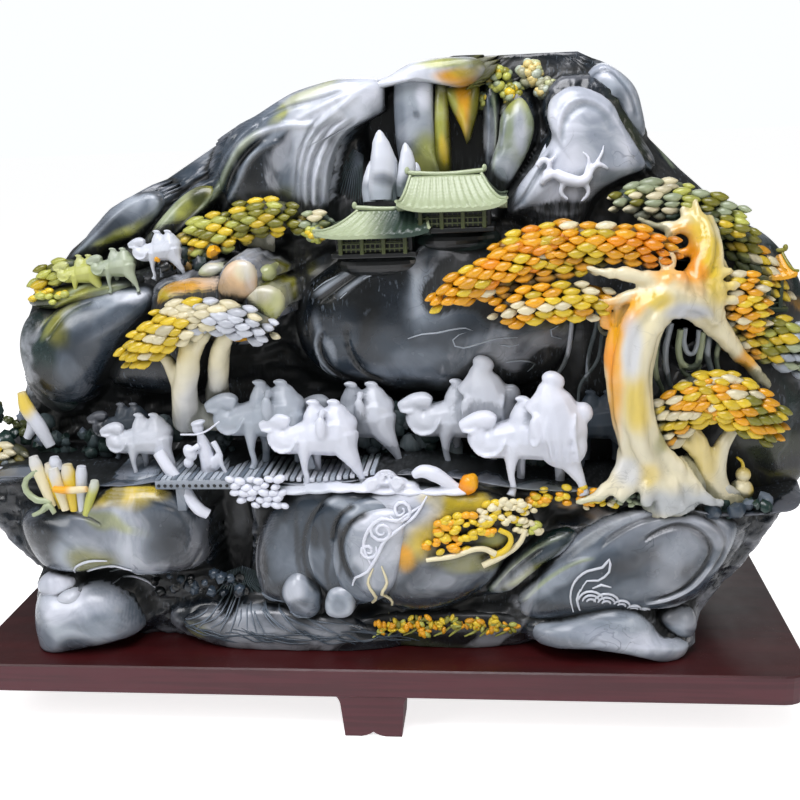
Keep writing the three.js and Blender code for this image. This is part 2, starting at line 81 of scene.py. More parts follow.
def linear(hex_colour: str) -> np.ndarray:
    """Turns a colour written as six hex digits into linear red, green and blue."""
    shown = np.array([int(hex_colour[i : i + 2], 16) / 255 for i in (0, 2, 4)])
    return np.where(shown <= 0.04045, shown / 12.92, ((shown + 0.055) / 1.055) ** 2.4)


class Tone(Enum):
    """The colours that the banded stone takes."""

    JET = "0B0F10"
    PINE = "18302B"
    DEEP = "1C242C"
    SLATE = "36424E"
    STEEL = "6A7480"
    MIST = "A6AEB8"
    PEARL = "CBCFD8"
    SNOW = "DEE1EC"
    MOSS = "3E4620"
    OLIVE = "85822A"
    LIME = "B9BC5A"
    LEMON = "E2C330"
    AMBER = "EDA81A"
    ORANGE = "EE930E"
    PEACH = "DDB78A"
    CREAM = "E3D9B4"
    CELADON = "A5B08E"

    @property
    def light(self) -> np.ndarray:
        """The tone as linear red, green and blue."""
        return linear(self.value)


def smooth(low: float, high: float, value: np.ndarray) -> np.ndarray:
    """A soft step that is 0 below low and 1 above high."""
    share = np.clip((value - low) / (high - low), 0, 1)
    return share * share * (3 - 2 * share)


def turned(x: np.ndarray, z: np.ndarray, turn: float) -> tuple[np.ndarray, np.ndarray]:
    """Turns places in the plane of the face, anticlockwise as the viewer sees them.

    Args:
        x: places to the right.
        z: places upwards.
        turn: the angle in degrees.

    Returns:
        The turned x and z.
    """
    cos, sin = math.cos(math.radians(turn)), math.sin(math.radians(turn))
    return x * cos - z * sin, x * sin + z * cos


def spots(text: str) -> tuple[tuple[float, ...], ...]:
    """Reads rows of numbers: spaces part the rows, and commas part a row's values."""
    return tuple(tuple(float(value) for value in row.split(",")) for row in text.split())


def hues(text: str) -> tuple[Tone, ...]:
    """Reads tones from their names."""
    return tuple(Tone[name] for name in text.split())


class Grain:
    """Smooth noise in space, the same on every run."""

    SIZE = 32

    def __init__(self, seed: int) -> None:
        """Fills the lattice.

        Args:
            seed: which noise this is.
        """
        self.lattice = np.random.default_rng(seed).uniform(-1, 1, (self.SIZE,) * 3)

    def at(self, places: np.ndarray, size: float | Sequence[float], layers: int = 1) -> np.ndarray:
        """Reads the noise.

        Args:
            places: one row of x, y and z for each point, in millimetres.
            size: how far apart its features are, or that along x, y and z.
            layers: how many octaves are added, each half as large as the last.

        Returns:
            One value from about -1 to 1 for each point.
        """
        total = np.zeros(len(places))
        for layer in range(layers):
            where = places / np.asarray(size) * 2**layer + 17.3 * layer
            cell = np.floor(where).astype(int)
            share = where - cell
            share = share * share * (3 - 2 * share)
            value = 0.0
            for corner in range(8):
                step = np.array([corner & 1, corner >> 1 & 1, corner >> 2])
                weight = np.prod(np.where(step, share, 1 - share), axis=1)
                index = (cell + step) % self.SIZE
                value = value + weight * self.lattice[index[:, 0], index[:, 1], index[:, 2]]
            total += value / 2**layer
        return total


DRIFT = (Grain(3), Grain(5))
ROUGH = Grain(8)


@dataclass(frozen=True)
class Patch:
    """An oval area of colour on the face, soft at its edge."""

    tone: Tone
    x: float
    z: float
    a: float
    b: float
    turn: float = 0
    share: float = 1

    def weight(self, x: np.ndarray, z: np.ndarray) -> np.ndarray:
        """How strongly the patch covers each place."""
        u, w = turned(x - self.x, z - self.z, -self.turn)
        reach = np.hypot(u / self.a, w / self.b)
        return self.share * (1 - smooth(0.5, 1.5, reach))


@dataclass(frozen=True)
class Paint:
    """The stone's own colours on a piece: a main tone and patches that drift into it."""

    base: Tone
    patches: tuple[Patch, ...] = ()
    drift: float = 13

    def colours(self, places: np.ndarray) -> np.ndarray:
        """Linear colours at places in the carving's space."""
        warp = [grain.at(places, 46, 3) * self.drift for grain in DRIFT]
        x, z = places[:, 0] + warp[0], places[:, 2] + warp[1]
        colours = np.tile(self.base.light, (len(places), 1))
        for patch in self.patches:
            weight = patch.weight(x, z)[:, None]
            colours = colours * (1 - weight) + patch.tone.light * weight
        behind = smooth(10, 40, places[:, 1] + warp[0])[:, None]
        return colours * (1 - behind) + Tone.SLATE.light * behind


def shades(text: str) -> Paint:
    """Reads a paint: its main tone and drift, and behind each bar the tone and sizes of a patch."""
    (base, *drift), *patches = (part.split() for part in text.split("|"))
    made = tuple(Patch(Tone[tone], *map(float, sizes)) for tone, *sizes in patches)
    return Paint(Tone[base], made, *map(float, drift))


def curve(knots: Sequence[tuple[float, float]], pitch: float = 5, closed: bool = False) -> np.ndarray:
    """Places along a smooth line through knots.

    Args:
        knots: places as x and z.
        pitch: about how far apart the made places are.
        closed: whether the line returns to its start.

    Returns:
        One row of x and z for each place.
    """
    ends = np.array(knots, float)
    if closed:
        ends = np.vstack([ends[-1:], ends, ends[:2]])
    else:
        ends = np.vstack([2 * ends[:1] - ends[1:2], ends, 2 * ends[-1:] - ends[-2:-1]])
    made = []
    for a, b, c, d in zip(ends[:-3], ends[1:-2], ends[2:-1], ends[3:]):
        t = np.linspace(0, 1, max(1, int(np.hypot(*(c - b)) / pitch)) + 1)[:-1, None]
        way = 2 * b + (c - a) * t + (2 * a - 5 * b + 4 * c - d) * t**2 + (3 * b - a - 3 * c + d) * t**3
        made.append(0.5 * way)
    return np.vstack(made if closed else [*made, ends[-2:-1]])


@dataclass(frozen=True)
class Stroke:
    """A line over the face that cuts into it, or raises it where depth is below 0, and that may colour it.

    With lip, only its left side is cut: sharply at the line and then easing away.
    """

    line: tuple[tuple[float, float], ...]
    width: float
    depth: float = 0
    tone: Optional[Tone] = None
    share: float = 0.9
    lip: bool = False

    def reach(self, x: np.ndarray, z: np.ndarray) -> tuple[np.ndarray, np.ndarray]:
        """How many widths each place is from the line, above 0 on its left, and how full the line is there."""
        path = curve(self.line, 6)
        best, along = np.full(len(x), 9.0), np.zeros(len(x))
        low, high = path.min(axis=0) - 1.2 * self.width, path.max(axis=0) + 1.2 * self.width
        near = np.flatnonzero((x > low[0]) & (x < high[0]) & (z > low[1]) & (z < high[1]))
        for number, (start, end) in enumerate(zip(path[:-1], path[1:])):
            u, w = x[near] - start[0], z[near] - start[1]
            run, rise = end - start
            t = np.clip((u * run + w * rise) / (run * run + rise * rise), 0, 1)
            gap = np.hypot(u - t * run, w - t * rise) / self.width
            closer = near[gap < np.abs(best[near])]
            keep = gap < np.abs(best[near])
            best[closer] = (gap * np.where(run * w - rise * u < 0, -1, 1))[keep]
            along[closer] = (number + t[keep]) / (len(path) - 1)
        return best, smooth(0, 0.12, along) * (1 - smooth(0.88, 1, along))

    def drop(self, x: np.ndarray, z: np.ndarray) -> np.ndarray:
        """How deep the line cuts at each place."""
        gap, full = self.reach(x, z)
        if self.lip:
            return self.depth * full * smooth(-0.3, 0.1, gap) * (1 - smooth(0, 1, gap))
        return self.depth * full * np.exp(-4 * gap**2)

    def blend(self, colours: np.ndarray, x: np.ndarray, z: np.ndarray) -> np.ndarray:
        """Lays the line's colour over others."""
        if self.tone is None:
            return colours
        gap, full = self.reach(x, z)
        weight = (self.share * full * (1 - smooth(0.15, 0.8, np.abs(gap))))[:, None]
        return colours * (1 - weight) + self.tone.light * weight


def strokes(text: str) -> tuple[Stroke, ...]:
    """Reads strokes: a star, the places of the line, and behind a bar its width, depth, tone, share and lip."""
    made = []
    for part in text.split("*")[1:]:
        line, sizes = part.split("|")
        width, depth, tone, share, *lip = sizes.split()
        made.append(Stroke(spots(line), float(width), float(depth), Tone[tone], float(share), bool(lip)))
    return tuple(made)


def score(places: np.ndarray) -> np.ndarray:
    """How deep the face's lines cut at each place."""
    return sum((stroke.drop(places[:, 0], places[:, 2]) for stroke in SCORES), np.zeros(len(places)))


def take(piece: Piece) -> Piece:
    """Makes one object the only selected one and the active one."""
    bpy.ops.object.select_all(action="DESELECT")
    piece.select_set(True)
    bpy.context.view_layer.objects.active = piece
    return piece


def rounded(piece: Piece) -> Piece:
    """Shades a piece smoothly."""
    take(piece)
    bpy.ops.object.shade_smooth()
    return piece


def sealed(piece: Piece) -> Piece:
    """Welds the seams of a wrapped sheet, fills what is still open and turns its faces outwards."""
    take(piece)
    bpy.ops.object.mode_set(mode="EDIT")
    bpy.ops.mesh.select_all(action="SELECT")
    bpy.ops.mesh.remove_doubles(threshold=WELD)
    bpy.ops.mesh.select_all(action="SELECT")
    bpy.ops.mesh.fill_holes(sides=0)
    bpy.ops.mesh.select_all(action="SELECT")
    bpy.ops.mesh.normals_make_consistent(inside=False)
    bpy.ops.object.mode_set(mode="OBJECT")
    return piece


def points(piece: Piece) -> np.ndarray:
    """The places of a piece's vertices, one row each."""
    flat = np.empty(len(piece.data.vertices) * 3, np.float32)
    piece.data.vertices.foreach_get("co", flat)
    return flat.reshape(-1, 3).astype(float)


def move_points(piece: Piece, places: np.ndarray) -> None:
    """Moves a piece's vertices to new places."""
    piece.data.vertices.foreach_set("co", places.astype(np.float32).ravel())
    piece.data.update()


def normals(piece: Piece) -> np.ndarray:
    """The directions that a piece's vertices face, one row each."""
    flat = np.empty(len(piece.data.vertices) * 3, np.float32)
    piece.data.vertex_normals.foreach_get("vector", flat)
    return flat.reshape(-1, 3).astype(float)


def refine(piece: Piece, kind: str, **settings: object) -> Piece:
    """Adds a modifier with its settings and applies it."""
    take(piece)
    modifier = piece.modifiers.new(kind.title(), kind)
    for name, value in settings.items():
        setattr(modifier, name, value)
    bpy.ops.object.modifier_apply(modifier=modifier.name)
    return piece


def settled(piece: Piece) -> Piece:
    """Moves an object's place, turn and size into its mesh."""
    take(piece)
    bpy.ops.object.transform_apply(location=True, rotation=True, scale=True)
    return piece


def joined(pieces: Sequence[Piece], name: str) -> Piece:
    """Joins objects into one, with a name."""
    take(pieces[0])
    for piece in pieces:
        piece.select_set(True)
    if len(pieces) > 1:
        bpy.ops.object.join()
    pieces[0].name = name
    return pieces[0]


def fused(pieces: Sequence[Piece], name: str, voxel: float, passes: int = 4, keep: float = 1) -> Piece:
    """Melts overlapping objects into one skin, as if carved from one lump.

    Args:
        pieces: closed objects that overlap.
        name: the new object's name.
        voxel: the size of the skin's facets, in millimetres.
        passes: how often the skin is smoothed.
        keep: the share of the facets that is kept.

    Returns:
        The fused object.
    """
    body = joined(pieces, name)
    refine(body, "REMESH", mode="VOXEL", voxel_size=voxel, use_smooth_shade=True)
    refine(body, "SMOOTH", factor=0.5, iterations=passes)
    if keep < 1:
        refine(body, "DECIMATE", ratio=keep)
    return body


def ball(place: Spot, size: Spot, turn: float = 0, across: int = 24, rings: int = 14) -> Piece:
    """An oval lump.

    Args:
        place: x, depth and z of its middle.
        size: its half sizes along x, depth and z.
        turn: its turn in the plane of the face, in degrees.
        across: facets around it.
        rings: facets from pole to pole.

    Returns:
        The lump.
    """
    x, depth, z = place
    bpy.ops.mesh.primitive_uv_sphere_add(
        segments=across,
        ring_count=rings,
        location=(x, -depth, z),
        rotation=(0, -math.radians(turn), 0),
        scale=size,
    )
    return settled(bpy.context.object)


def limb(stations: Sequence[Station], round_steps: int = 3, between: int = 6) -> Piece:
    """A round tapering limb that passes smoothly through stations of x, depth, z and radius."""
    bpy.ops.curve.primitive_bezier_curve_add()
    line = bpy.context.object
    line.data.dimensions = "3D"
    line.data.resolution_u = between
    line.data.bevel_depth = 1
    line.data.bevel_resolution = round_steps
    line.data.use_fill_caps = True
    spline = line.data.splines[0]
    spline.bezier_points.add(len(stations) - len(spline.bezier_points))
    for point, (x, depth, z, radius) in zip(spline.bezier_points, stations):
        point.co = (x, -depth, z)
        point.radius = radius
        point.handle_left_type = point.handle_right_type = "AUTO"
    take(line)
    bpy.ops.object.convert(target="MESH")
    return settled(bpy.context.object)


def slab(place: Spot, size: Spot, bevel: float = 0.8, turn: float = 0) -> Piece:
    """A block with softened edges: its middle as x, depth and z, and its full sizes along them."""
    x, depth, z = place
    bpy.ops.mesh.primitive_cube_add(
        size=1, location=(x, -depth, z), rotation=(0, -math.radians(turn), 0), scale=size
    )
    return refine(settled(bpy.context.object), "BEVEL", width=bevel, segments=2)


@dataclass(frozen=True)
class Copy:
    """Where one copy of a small shape goes: place, size, turns about depth, x and z, and its colour."""

    place: Spot
    size: float
    turn: float = 0
    tip: float = 0
    swing: float = 0
    tone: Optional[np.ndarray] = None

    @property
    def matrix(self) -> Matrix:
        """The copy's size, turns and place as a matrix."""
        x, depth, z = self.place
        spin = Matrix.Rotation(math.radians(self.swing), 4, "Z")
        spin = spin @ Matrix.Rotation(-math.radians(self.turn), 4, "Y")
        spin = spin @ Matrix.Rotation(math.radians(self.tip), 4, "X")
        return Matrix.Translation((x, -depth, z)) @ spin @ Matrix.Diagonal((self.size,) * 3).to_4x4()


def stamped(model: Piece, copies: Sequence[Copy], name: str, painted_top_shade: float = 0) -> Piece:
    """Copies a small shape many times into one mesh of its own, and removes the model.

    Args:
        model: the shape, modelled round the space's middle.
        copies: where the copies go.
        name: the new object's name.
        painted_top_shade: painted shade, how much darker a copy is at its upper side than at its lower.

    Returns:
        The object that holds every copy, with their colours in its tint.
    """
    shape = np.c_[points(model), np.ones(len(model.data.vertices))]
    corners = [list(face.vertices) for face in model.data.polygons]
    places, faces, tones = [], [], []
    # Painted shade: each copy is darkened towards its upper side.
    shade = 1 - painted_top_shade * smooth(-0.1, 1, shape[:, 2:3] / shape[:, 2].max())
    for number, copy in enumerate(copies):
        places.append((shape @ np.array(copy.matrix).T)[:, :3])
        faces.extend([[corner + number * len(shape) for corner in face] for face in corners])
        tones.append(shade * (copy.tone if copy.tone is not None else Tone.MIST.light))
    mesh = bpy.data.meshes.new(name)
    mesh.from_pydata(np.vstack(places).tolist(), [], faces)
    mesh.update()
    made = bpy.data.objects.new(name, mesh)
    bpy.context.collection.objects.link(made)
    bpy.data.objects.remove(model)
    tint(made, np.vstack(tones))
    return made


def tint(piece: Piece, colours: np.ndarray) -> None:
    """Stores a colour on each vertex of a piece."""
    store = piece.data.color_attributes.get("tint") or piece.data.color_attributes.new(
        "tint", "FLOAT_COLOR", "POINT"
    )
    store.data.foreach_set("color", np.c_[colours, np.ones(len(colours))].astype(np.float32).ravel())


def painted(piece: Piece, paint: Paint, lines: Sequence[Stroke] = ()) -> Piece:
    """Gives a piece its stone's colours, with coloured lines over them on its front."""
    places = points(piece)
    colours = paint.colours(places)
    front = places[:, 1] < 0
    for line in lines:
        colours[front] = line.blend(colours[front], places[front, 0], places[front, 2])
    tint(piece, colours)
    return piece


@dataclass(frozen=True)
class Rock:
    """A rounded rock of the carved face: a dome on an oval plug, with the same sizes as in the solids."""

    x: float
    z: float
    a: float
    b: float
    rim: float
    lift: float
    turn: float = 0
    paint: Paint = shades("SLATE")
    uneven: float = 2.2
    full: float = 0.62
    grow: float = 1.06
    lean: float = 0
    carved: bool = True
    edge: tuple[tuple[float, float], ...] = ()

    def outline(self, around: np.ndarray, number: int) -> np.ndarray:
        """How far the rock's edge strays from its oval, at angles anticlockwise from the right."""
        if self.edge:
            path = curve(self.edge, 3, closed=True) - (self.x, self.z)
            angle = np.arctan2(path[:, 1], path[:, 0])
            order = np.argsort(angle)
            reach = np.hypot(path[:, 0], path[:, 1]) / self.a
            return np.interp(around, angle[order], reach[order], period=2 * np.pi)
        return 1 + 0.05 * np.sin(number - 2 * around) + 0.04 * np.sin(2 * number - 3 * around)

    def dome(self, x: np.ndarray, z: np.ndarray, number: int, wider: float = 1) -> np.ndarray:
        """Depth of the rock's surface at places on the face, and NOWHERE where there is none.

        Args:
            x: places to the right.
            z: heights.
            number: the rock's place in the list.
            wider: how much larger than the rock the dome is taken.

        Returns:
            The depths.
        """
        u, w = turned(x - self.x, z - self.z, -self.turn)
        u, w = u / self.a, w / self.b
        reach = np.hypot(u, w) / self.outline(np.arctan2(w, u), number) / self.grow / wider
        inside = reach < 1
        swell = np.clip(1 - np.where(inside, reach, 0) ** 2, 0, 1) ** (0.5 * self.full)
        lean = self.lean * smooth(0.1, 1.05, w)
        return np.where(inside, self.rim + self.lift * swell + lean, NOWHERE)

    def build(self, number: int) -> Piece:
        """Models the rock.

        Args:
            number: its place in the list of rocks, which sets how its outline strays.

        Returns:
            The rock, painted.
        """
        size = math.sqrt(self.a * self.b)
        root = max(self.rim - ROOT_LENGTH, DEEPEST_ROOT)
        bpy.ops.mesh.primitive_uv_sphere_add(
            segments=int(np.clip(2.5 * size, 48, 190)),
            ring_count=2 * int(np.clip(0.66 * size, 12, 52)),
            rotation=(math.pi / 2, 0, 0),
        )
        rock = settled(bpy.context.object)
        bpy.ops.object.mode_set(mode="EDIT")
        bpy.ops.mesh.select_all(action="SELECT")
        bpy.ops.mesh.bisect(plane_co=(0, 1e-4, 0), plane_no=(0, 1, 0), clear_outer=True)
        for _ in range(5):
            bpy.ops.mesh.extrude_region_move(TRANSFORM_OT_translate={"value": (0, 0.2, 0)})
        bpy.ops.mesh.edge_face_add()
        bpy.ops.object.mode_set(mode="OBJECT")
        unit = points(rock)
        around = np.arctan2(unit[:, 2], unit[:, 0])
        stray = self.outline(around, number) * self.grow
        u, w = turned(self.a * stray * unit[:, 0], self.b * stray * unit[:, 2], self.turn)
        front = unit[:, 1] <= 0
        bulge = self.lift * np.clip(-unit[:, 1], 0, 1) ** self.full
        depth = np.where(front, self.rim + bulge, self.rim - (self.rim - root) * unit[:, 1])
        depth = depth + self.lean * smooth(0.1, 1.05, w / self.b)
        places = np.c_[self.x + u, -depth, self.z + w]
        swell = ROUGH.at(places, 34, 2) * self.uneven
        cut = score(places)
        places[:, 1] -= np.where(front, swell * -unit[:, 1] - cut * smooth(0, 0.12, -unit[:, 1]), 0)
        for hollow in HOLLOWS if self.carved else ():
            places = hollow.carve(places)
        move_points(rock, places)
        return painted(rounded(rock), self.paint, SCORES)


@dataclass(frozen=True)
class Hollow:
    """An oval hollow cut into the face down to a floor."""

    x: float
    z: float
    a: float
    b: float
    floor: float
    turn: float = 0

    def carve(self, places: np.ndarray) -> np.ndarray:
        """Pushes the places inside the hollow back to its floor."""
        u, w = turned(places[:, 0] - self.x, places[:, 2] - self.z, -self.turn)
        u, w = u / self.a, w / self.b
        stray = 1 + 0.05 * np.sin(1 - 2 * np.arctan2(w, u)) + 0.04 * np.sin(2 - 3 * np.arctan2(w, u))
        open_share = 1 - smooth(0.9, 1.04, np.hypot(u, w) / stray)
        depth = -places[:, 1]
        moved = places.copy()
        moved[:, 1] = -np.where(depth > self.floor, depth + (self.floor - depth) * open_share, depth)
        return moved


HOLLOWS = (
    Hollow(-140, 112, 20, 82, 62, -2),
    Hollow(62, 480, 62, 60, -4),
    Hollow(124, 480, 9, 56, 0),
    Hollow(306, 318, 34, 52, 10),
)


def boulder(edge: Sequence[tuple[float, float]], rim: float, lift: float, paint: Paint, **settings: object) -> Rock:
    """A rock whose outline is drawn through places on the face.

    Args:
        edge: places as x and z round its outline, all in sight of its middle.
        rim: depth of its edge.
        lift: how far its middle stands out of its edge.
        paint: its colours.
        settings: the rock's other settings.

    Returns:
        The rock.
    """
    path = curve(edge, 5, closed=True)
    x, z = path.mean(axis=0)
    size = float(np.hypot(path[:, 0] - x, path[:, 1] - z).mean())
    return Rock(x, z, size, size, rim, lift, 0, paint, edge=tuple(edge), **{"grow": 1.0, "uneven": 1.4, **settings})


def rocks(text: str) -> tuple[Rock, ...]:
    """Reads rocks.

    Args:
        text: for each rock a star, the places of its outline (or the word oval, its x, z, half sizes and turn),
            and behind bars its rim, lift and other settings, and its paint.

    Returns:
        The rocks.
    """
    made = []
    for part in text.split("*")[1:]:
        shape, sizes, colours = part.split("|", 2)
        rim, lift, *rest = sizes.split()
        settings = {name: float(value) for name, value in (word.split("=") for word in rest)}
        settings["carved"] = settings.get("carved") != 0
        if shape.split()[0] == "oval":
            x, z, a, b, turn = map(float, shape.split()[1:])
            made.append(Rock(x, z, a, b, float(rim), float(lift), turn, shades(colours), **settings))
        else:
            made.append(boulder(spots(shape), float(rim), float(lift), shades(colours), **settings))
    return tuple(made)


LOW_ROCKS = rocks("""
* -341,53 -328,66 -299,68 -270,68 -246,53 -236,35 -235,14 -264,3 -301,-6 -340,-13 -348,11 -347,35 | 92 54 uneven=.8 |
MIST 6 | SNOW -293 52 43 13 0 .9 | SLATE -300 11 19 12 0 .9 | STEEL -333 18 13 28 0 .9 | STEEL -243 21 15 21 0 .9
* -337,66 -327,79 -312,82 -297,75 -296,64 -310,55 -329,55 | 112 20 uneven=.6 | SNOW 4
* -313,56 -305,65 -291,67 -288,58 -297,52 | 124 14 uneven=.4 | PEARL 4
* -348,135 -332,148 -299,155 -261,169 -236,176 -206,176 -182,169 -166,152 -156,123 -157,102 -170,83 -218,76 -247,85
-278,81 -308,79 -333,87 -346,112 | 90 56 lean=16 | STEEL 10 | JET -327 114 32 24 0 .9 | PEARL -244 126 41 41 0 .8 |
MIST -278 100 28 23 0 .9 | LEMON -218 163 41 10 0 .9 | LIME -248 142 34 8 -20 .6 | OLIVE -268 97 21 17 0 .8 | DEEP
-182 104 28 38 0 .9 | JET -170 83 21 17 0 .9 | STEEL -158 142 6 28 0 .8 | SLATE -309 83 38 9 0 .7
* oval -362 132 36 34 0 | 60 24 | DEEP | OLIVE -371 121 21 13 0 .8 | MOSS -375 165 19 19 0 .8 | STEEL -355 143 21 11 0
.5
* -86,64 -79,80 -68,88 -57,83 -45,69 -46,48 -55,37 -73,37 -82,52 | 112 28 uneven=.8 | STEEL 5 | PEARL -70 71 12 13 0
.9 | SLATE -64 56 8 8 0 .9 | STEEL -57 44 11 8 0 .9
* -41,59 -34,71 -22,74 -13,68 -13,48 -23,40 -40,43 | 116 24 uneven=.6 full=.3 | MIST 3 | STEEL -25 55 8 8 0 .9 | PEARL
-27 70 9 4 0 .9
* oval -84 14 104 26 -3 | 104 24 | DEEP | STEEL -83 20 56 11 0 .6 | MIST -133 42 24 13 0 .8 | OLIVE -179 17 11 7 0 .7
| JET -224 32 38 28 0 .9 | JET -33 12 56 13 0 .9
* 2,169 34,175 67,176 95,171 121,166 144,155 160,139 163,126 153,114 136,96 125,78 109,61 88,48 57,39 24,42 2,56
-11,72 -17,96 -20,122 -13,149 | 96 46 lean=16 | SLATE 8 | STEEL 11 64 23 15 0 .9 | SLATE 68 75 53 21 0 .9 | DEEP 77 56
56 11 0 .9 | PEARL 34 146 41 32 0 .9 | SNOW 30 161 38 19 0 .9 | PEARL 13 111 21 32 | CREAM 77 166 24 9 0 .7 | OLIVE
107 106 41 11 0 .9 | PINE 144 106 19 24 0 .9 | LIME 125 126 19 9 0 .8 | LEMON 70 138 16 47 -48 | LEMON 91 161 32 13
-10 | AMBER 32 106 13 9 -40 | LEMON 125 114 11 9 0 .9 | PEARL 62 154 11 24 -48 .6
* 113,60 125,81 144,104 168,120 192,126 203,122 194,108 174,94 153,75 132,58 | 102 24 uneven=.6 | PINE 4 | OLIVE 151
83 23 6 38 .9 | LIME 145 79 11 3 38 .7 | STEEL 177 112 19 4 30 .6
* 143,47 153,67 174,87 199,104 218,108 214,96 194,79 173,58 156,43 | 98 24 uneven=.6 | PINE 4 | OLIVE 181 79 23 6 38
.9 | LIME 173 71 11 3 38 .7
* oval 73 16 92 20 0 | 104 14 | JET | OLIVE -12 9 28 8 0 .9 | MOSS 45 -2 56 8 0 .8
* 147,35 155,64 170,89 186,108 206,126 228,140 253,150 283,154 313,149 340,137 348,126 342,102 330,79 317,62 296,47
264,43 228,38 190,31 | 98 42 lean=6 | SLATE 7 | STEEL 217 116 56 13 32 .9 | MIST 192 89 38 7 38 .8 | MIST 252 146 47 6
6 .9 | PEARL 305 148 41 6 -12 .9 | DEEP 253 102 24 8 30 .9 | JET 278 112 15 8 40 .8 | JET 302 97 11 8 0 .7 | STEEL 291
113 17 15 0 .8 | STEEL 338 105 15 28 0 .9 | DEEP 186 53 38 9 0 .8 | JET 300 58 28 9 0 .8 | STEEL 254 74 28 9 20 .7
* 160,29 186,39 210,50 233,56 254,51 269,34 282,19 305,13 304,2 295,-6 278,-3 242,5 204,10 162,12 | 112 34 uneven=.5 |
MIST 4 | SNOW 242 25 43 8 -12 | STEEL 226 48 38 4 0 .8 | SLATE 180 18 28 9 0 .9 | PEARL 292 2 13 7 0 .9 | STEEL 281 2
28 4 -14 .7
* 278,29 284,42 296,46 309,40 316,27 311,11 294,12 | 96 26 uneven=.8 | STEEL 3 | JET 286 38 11 8 0 .9 | MIST 295 21 8
9 0 .9 | SLATE 310 30 8 11 0 .9
""")

